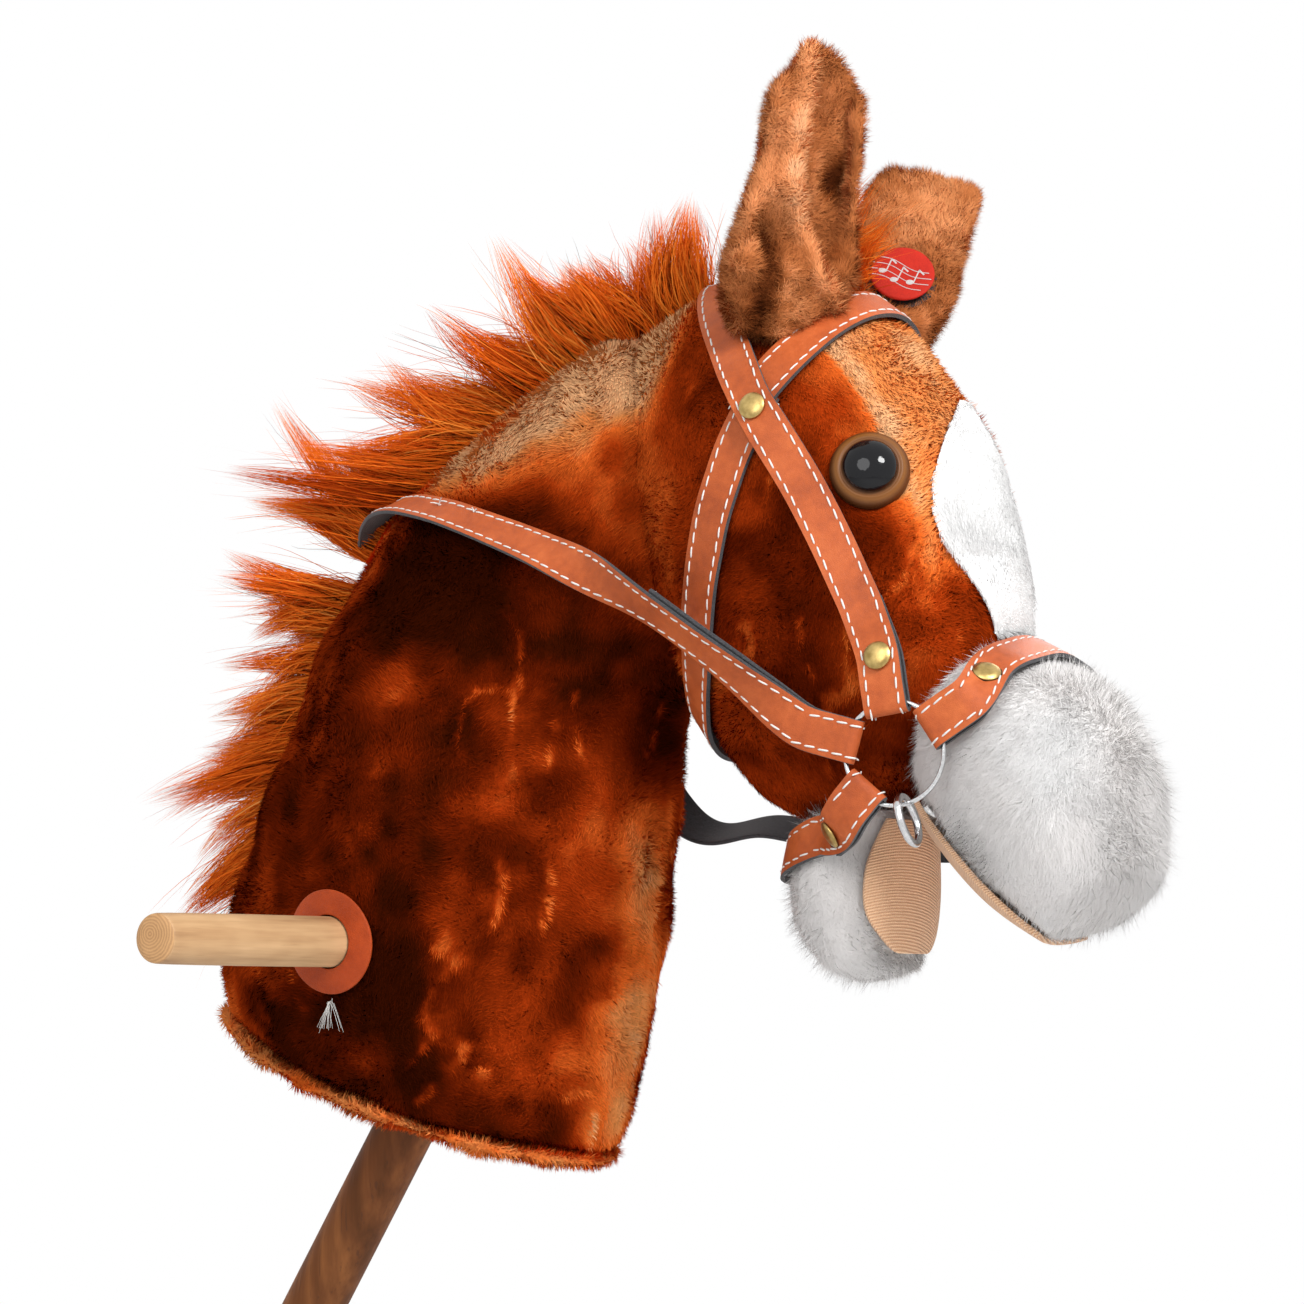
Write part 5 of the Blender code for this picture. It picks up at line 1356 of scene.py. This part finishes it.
for row, k in itertools.product(range(4), range(13)):
    x, y = (k - 6) * WAVE_STEP, (row - 1.5) * STAVE_GAP
    if math.hypot(x, y) <= 0.0118:
        slope = WAVE_RISE * WAVE_TURN * math.cos(k * WAVE_TURN) / WAVE_STEP
        rise = WAVE_RISE * math.sin(k * WAVE_TURN)
        mark(x, y + rise, (0.00205, 0.00030, 0.00010), math.atan(slope))
for x, y, tall in ((-0.0072, -0.0012, 0.0068), (-0.0014, -0.0036, 0.0072), (0.0050, -0.0024, 0.0070)):
    mark(x, y, (0.0016, 0.0012, 0.00012), 0.4, dot=True)
    mark(x + 0.0014, y + tall / 2, (0.00050, tall, 0.00012))
    mark(x + 0.0026, y + tall - 0.0008, (0.0030, 0.00070, 0.00012), -0.5)
printed = bpy.data.meshes.new("ear_badge_print")
marks.to_mesh(printed)
marks.free()
upright = Matrix.Rotation(-0.4, 4, "Z")
printed.transform(Matrix.Translation(Vector(plate_mid)) @ print_turn @ upright)
finished(placed("ear_badge_print", printed), ink.material, "sound_button")

black, pitted = mottled(
    "unit_black", (1200, 2, 0.6), (0.3, (0.02, 0.02, 0.021)), (0.7, (0.05, 0.05, 0.05)))
black.wear(Roughness=0.4 + pitted * 0.2, Normal=black.bump(pitted, 0.00005))
cherry, mould = mottled(
    "unit_button_red", (1200, 2, 0.6), (0.3, (0.330, 0.010, 0.004)), (0.7, (0.420, 0.016, 0.006)))
cherry.wear(Roughness=0.4 + mould * 0.2)
lacquer = Finish("unit_board_lacquer")
tracks = lacquer.cells(420, "MANHATTAN")
greens = lacquer.ramp(tracks, (0.05, (0.10, 0.34, 0.12)), (0.15, (0.012, 0.13, 0.045)))
lacquer.wear(Base_Color=greens, Roughness=0.3)
can, brushed = mottled(
    "unit_cell_can", (1100, 2, 0.6), (0.3, (0.50, 0.50, 0.52)), (0.7, (0.72, 0.72, 0.73)))
can.wear(Metallic=1.0, Roughness=0.22 + brushed * 0.15)
coated(cherry, "sound_button")
coated(black, "sound_housing_base", "sound_housing_cover", "tact_switch", "speaker")
coated(lacquer, "circuit_board")
coated(can, "button_cell_1", "button_cell_2", "button_cell_3")

# Studio
# A pale floor under the pole's tip, three soft lamps, and a long-lens camera that sees what the
# photograph shows.

scene = bpy.context.scene
scene.view_settings.view_transform = "Standard"
target = Vector((0.42072, 0.0, 0.67027))
camera = placed("camera", bpy.data.cameras.new("camera"))
camera.location = (1.28882, -1.33677, 0.53082)
camera.rotation_euler = (target - camera.location).to_track_quat("-Z", "Y").to_euler()
PHOTO_WIDE, FOCAL_LENGTH = 1304, 4000  # in pixels of the photograph
camera.data.sensor_width = 36
camera.data.lens = 36 * FOCAL_LENGTH / PHOTO_WIDE
camera.data.clip_end = 60
scene.camera = camera

floor_coat, _ = mottled(
    "studio_floor", (40, 2, 0.5), (0.3, (0.86, 0.86, 0.86)), (0.7, (0.88, 0.88, 0.88)))
floor_coat.wear(Roughness=0.9)
bpy.ops.mesh.primitive_plane_add(size=4, location=(0.4, 0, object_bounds()[0][2] - 0.0005))
floor = bpy.context.object
floor.name = "floor"
floor.data.materials.append(floor_coat.material)

world = bpy.data.worlds.new("studio")
scene.world = world
world.use_nodes = True
sky = world.node_tree
back = sky.nodes["Background"]
back.inputs["Color"].default_value = (1, 1, 1, 1)
paths = sky.nodes.new("ShaderNodeLightPath")
seen = Field(sky, paths.outputs["Is Camera Ray"])
clear = Field(sky, paths.outputs["Is Transmission Ray"])
shine = Field(sky, paths.outputs["Is Glossy Ray"])
shown = seen + clear + shine
level_of = 0.44 + shown.combine("MINIMUM", shown, 1.0) * 0.56
sky.links.new(level_of.socket, back.inputs["Strength"])


def lamp(name, spot, aim, size, power):
    made = placed(name, bpy.data.lights.new(name, "AREA"))
    made.location = spot
    made.rotation_euler = (Vector(aim) - Vector(spot)).to_track_quat("-Z", "Y").to_euler()
    made.data.shape = "ELLIPSE"
    made.data.size, made.data.size_y = size
    made.data.energy = power


lamp("key", (2.00, -0.62, 1.75), (0.42, 0, 0.68), (0.6, 0.6), 32)
lamp("fill", (0.9, -1.9, 1.5), (0.4, 0, 0.65), (1.3, 1.3), 18)
lamp("rear", (0.3, 1.4, 1.6), (0.4, 0, 0.7), (1.0, 0.8), 9)
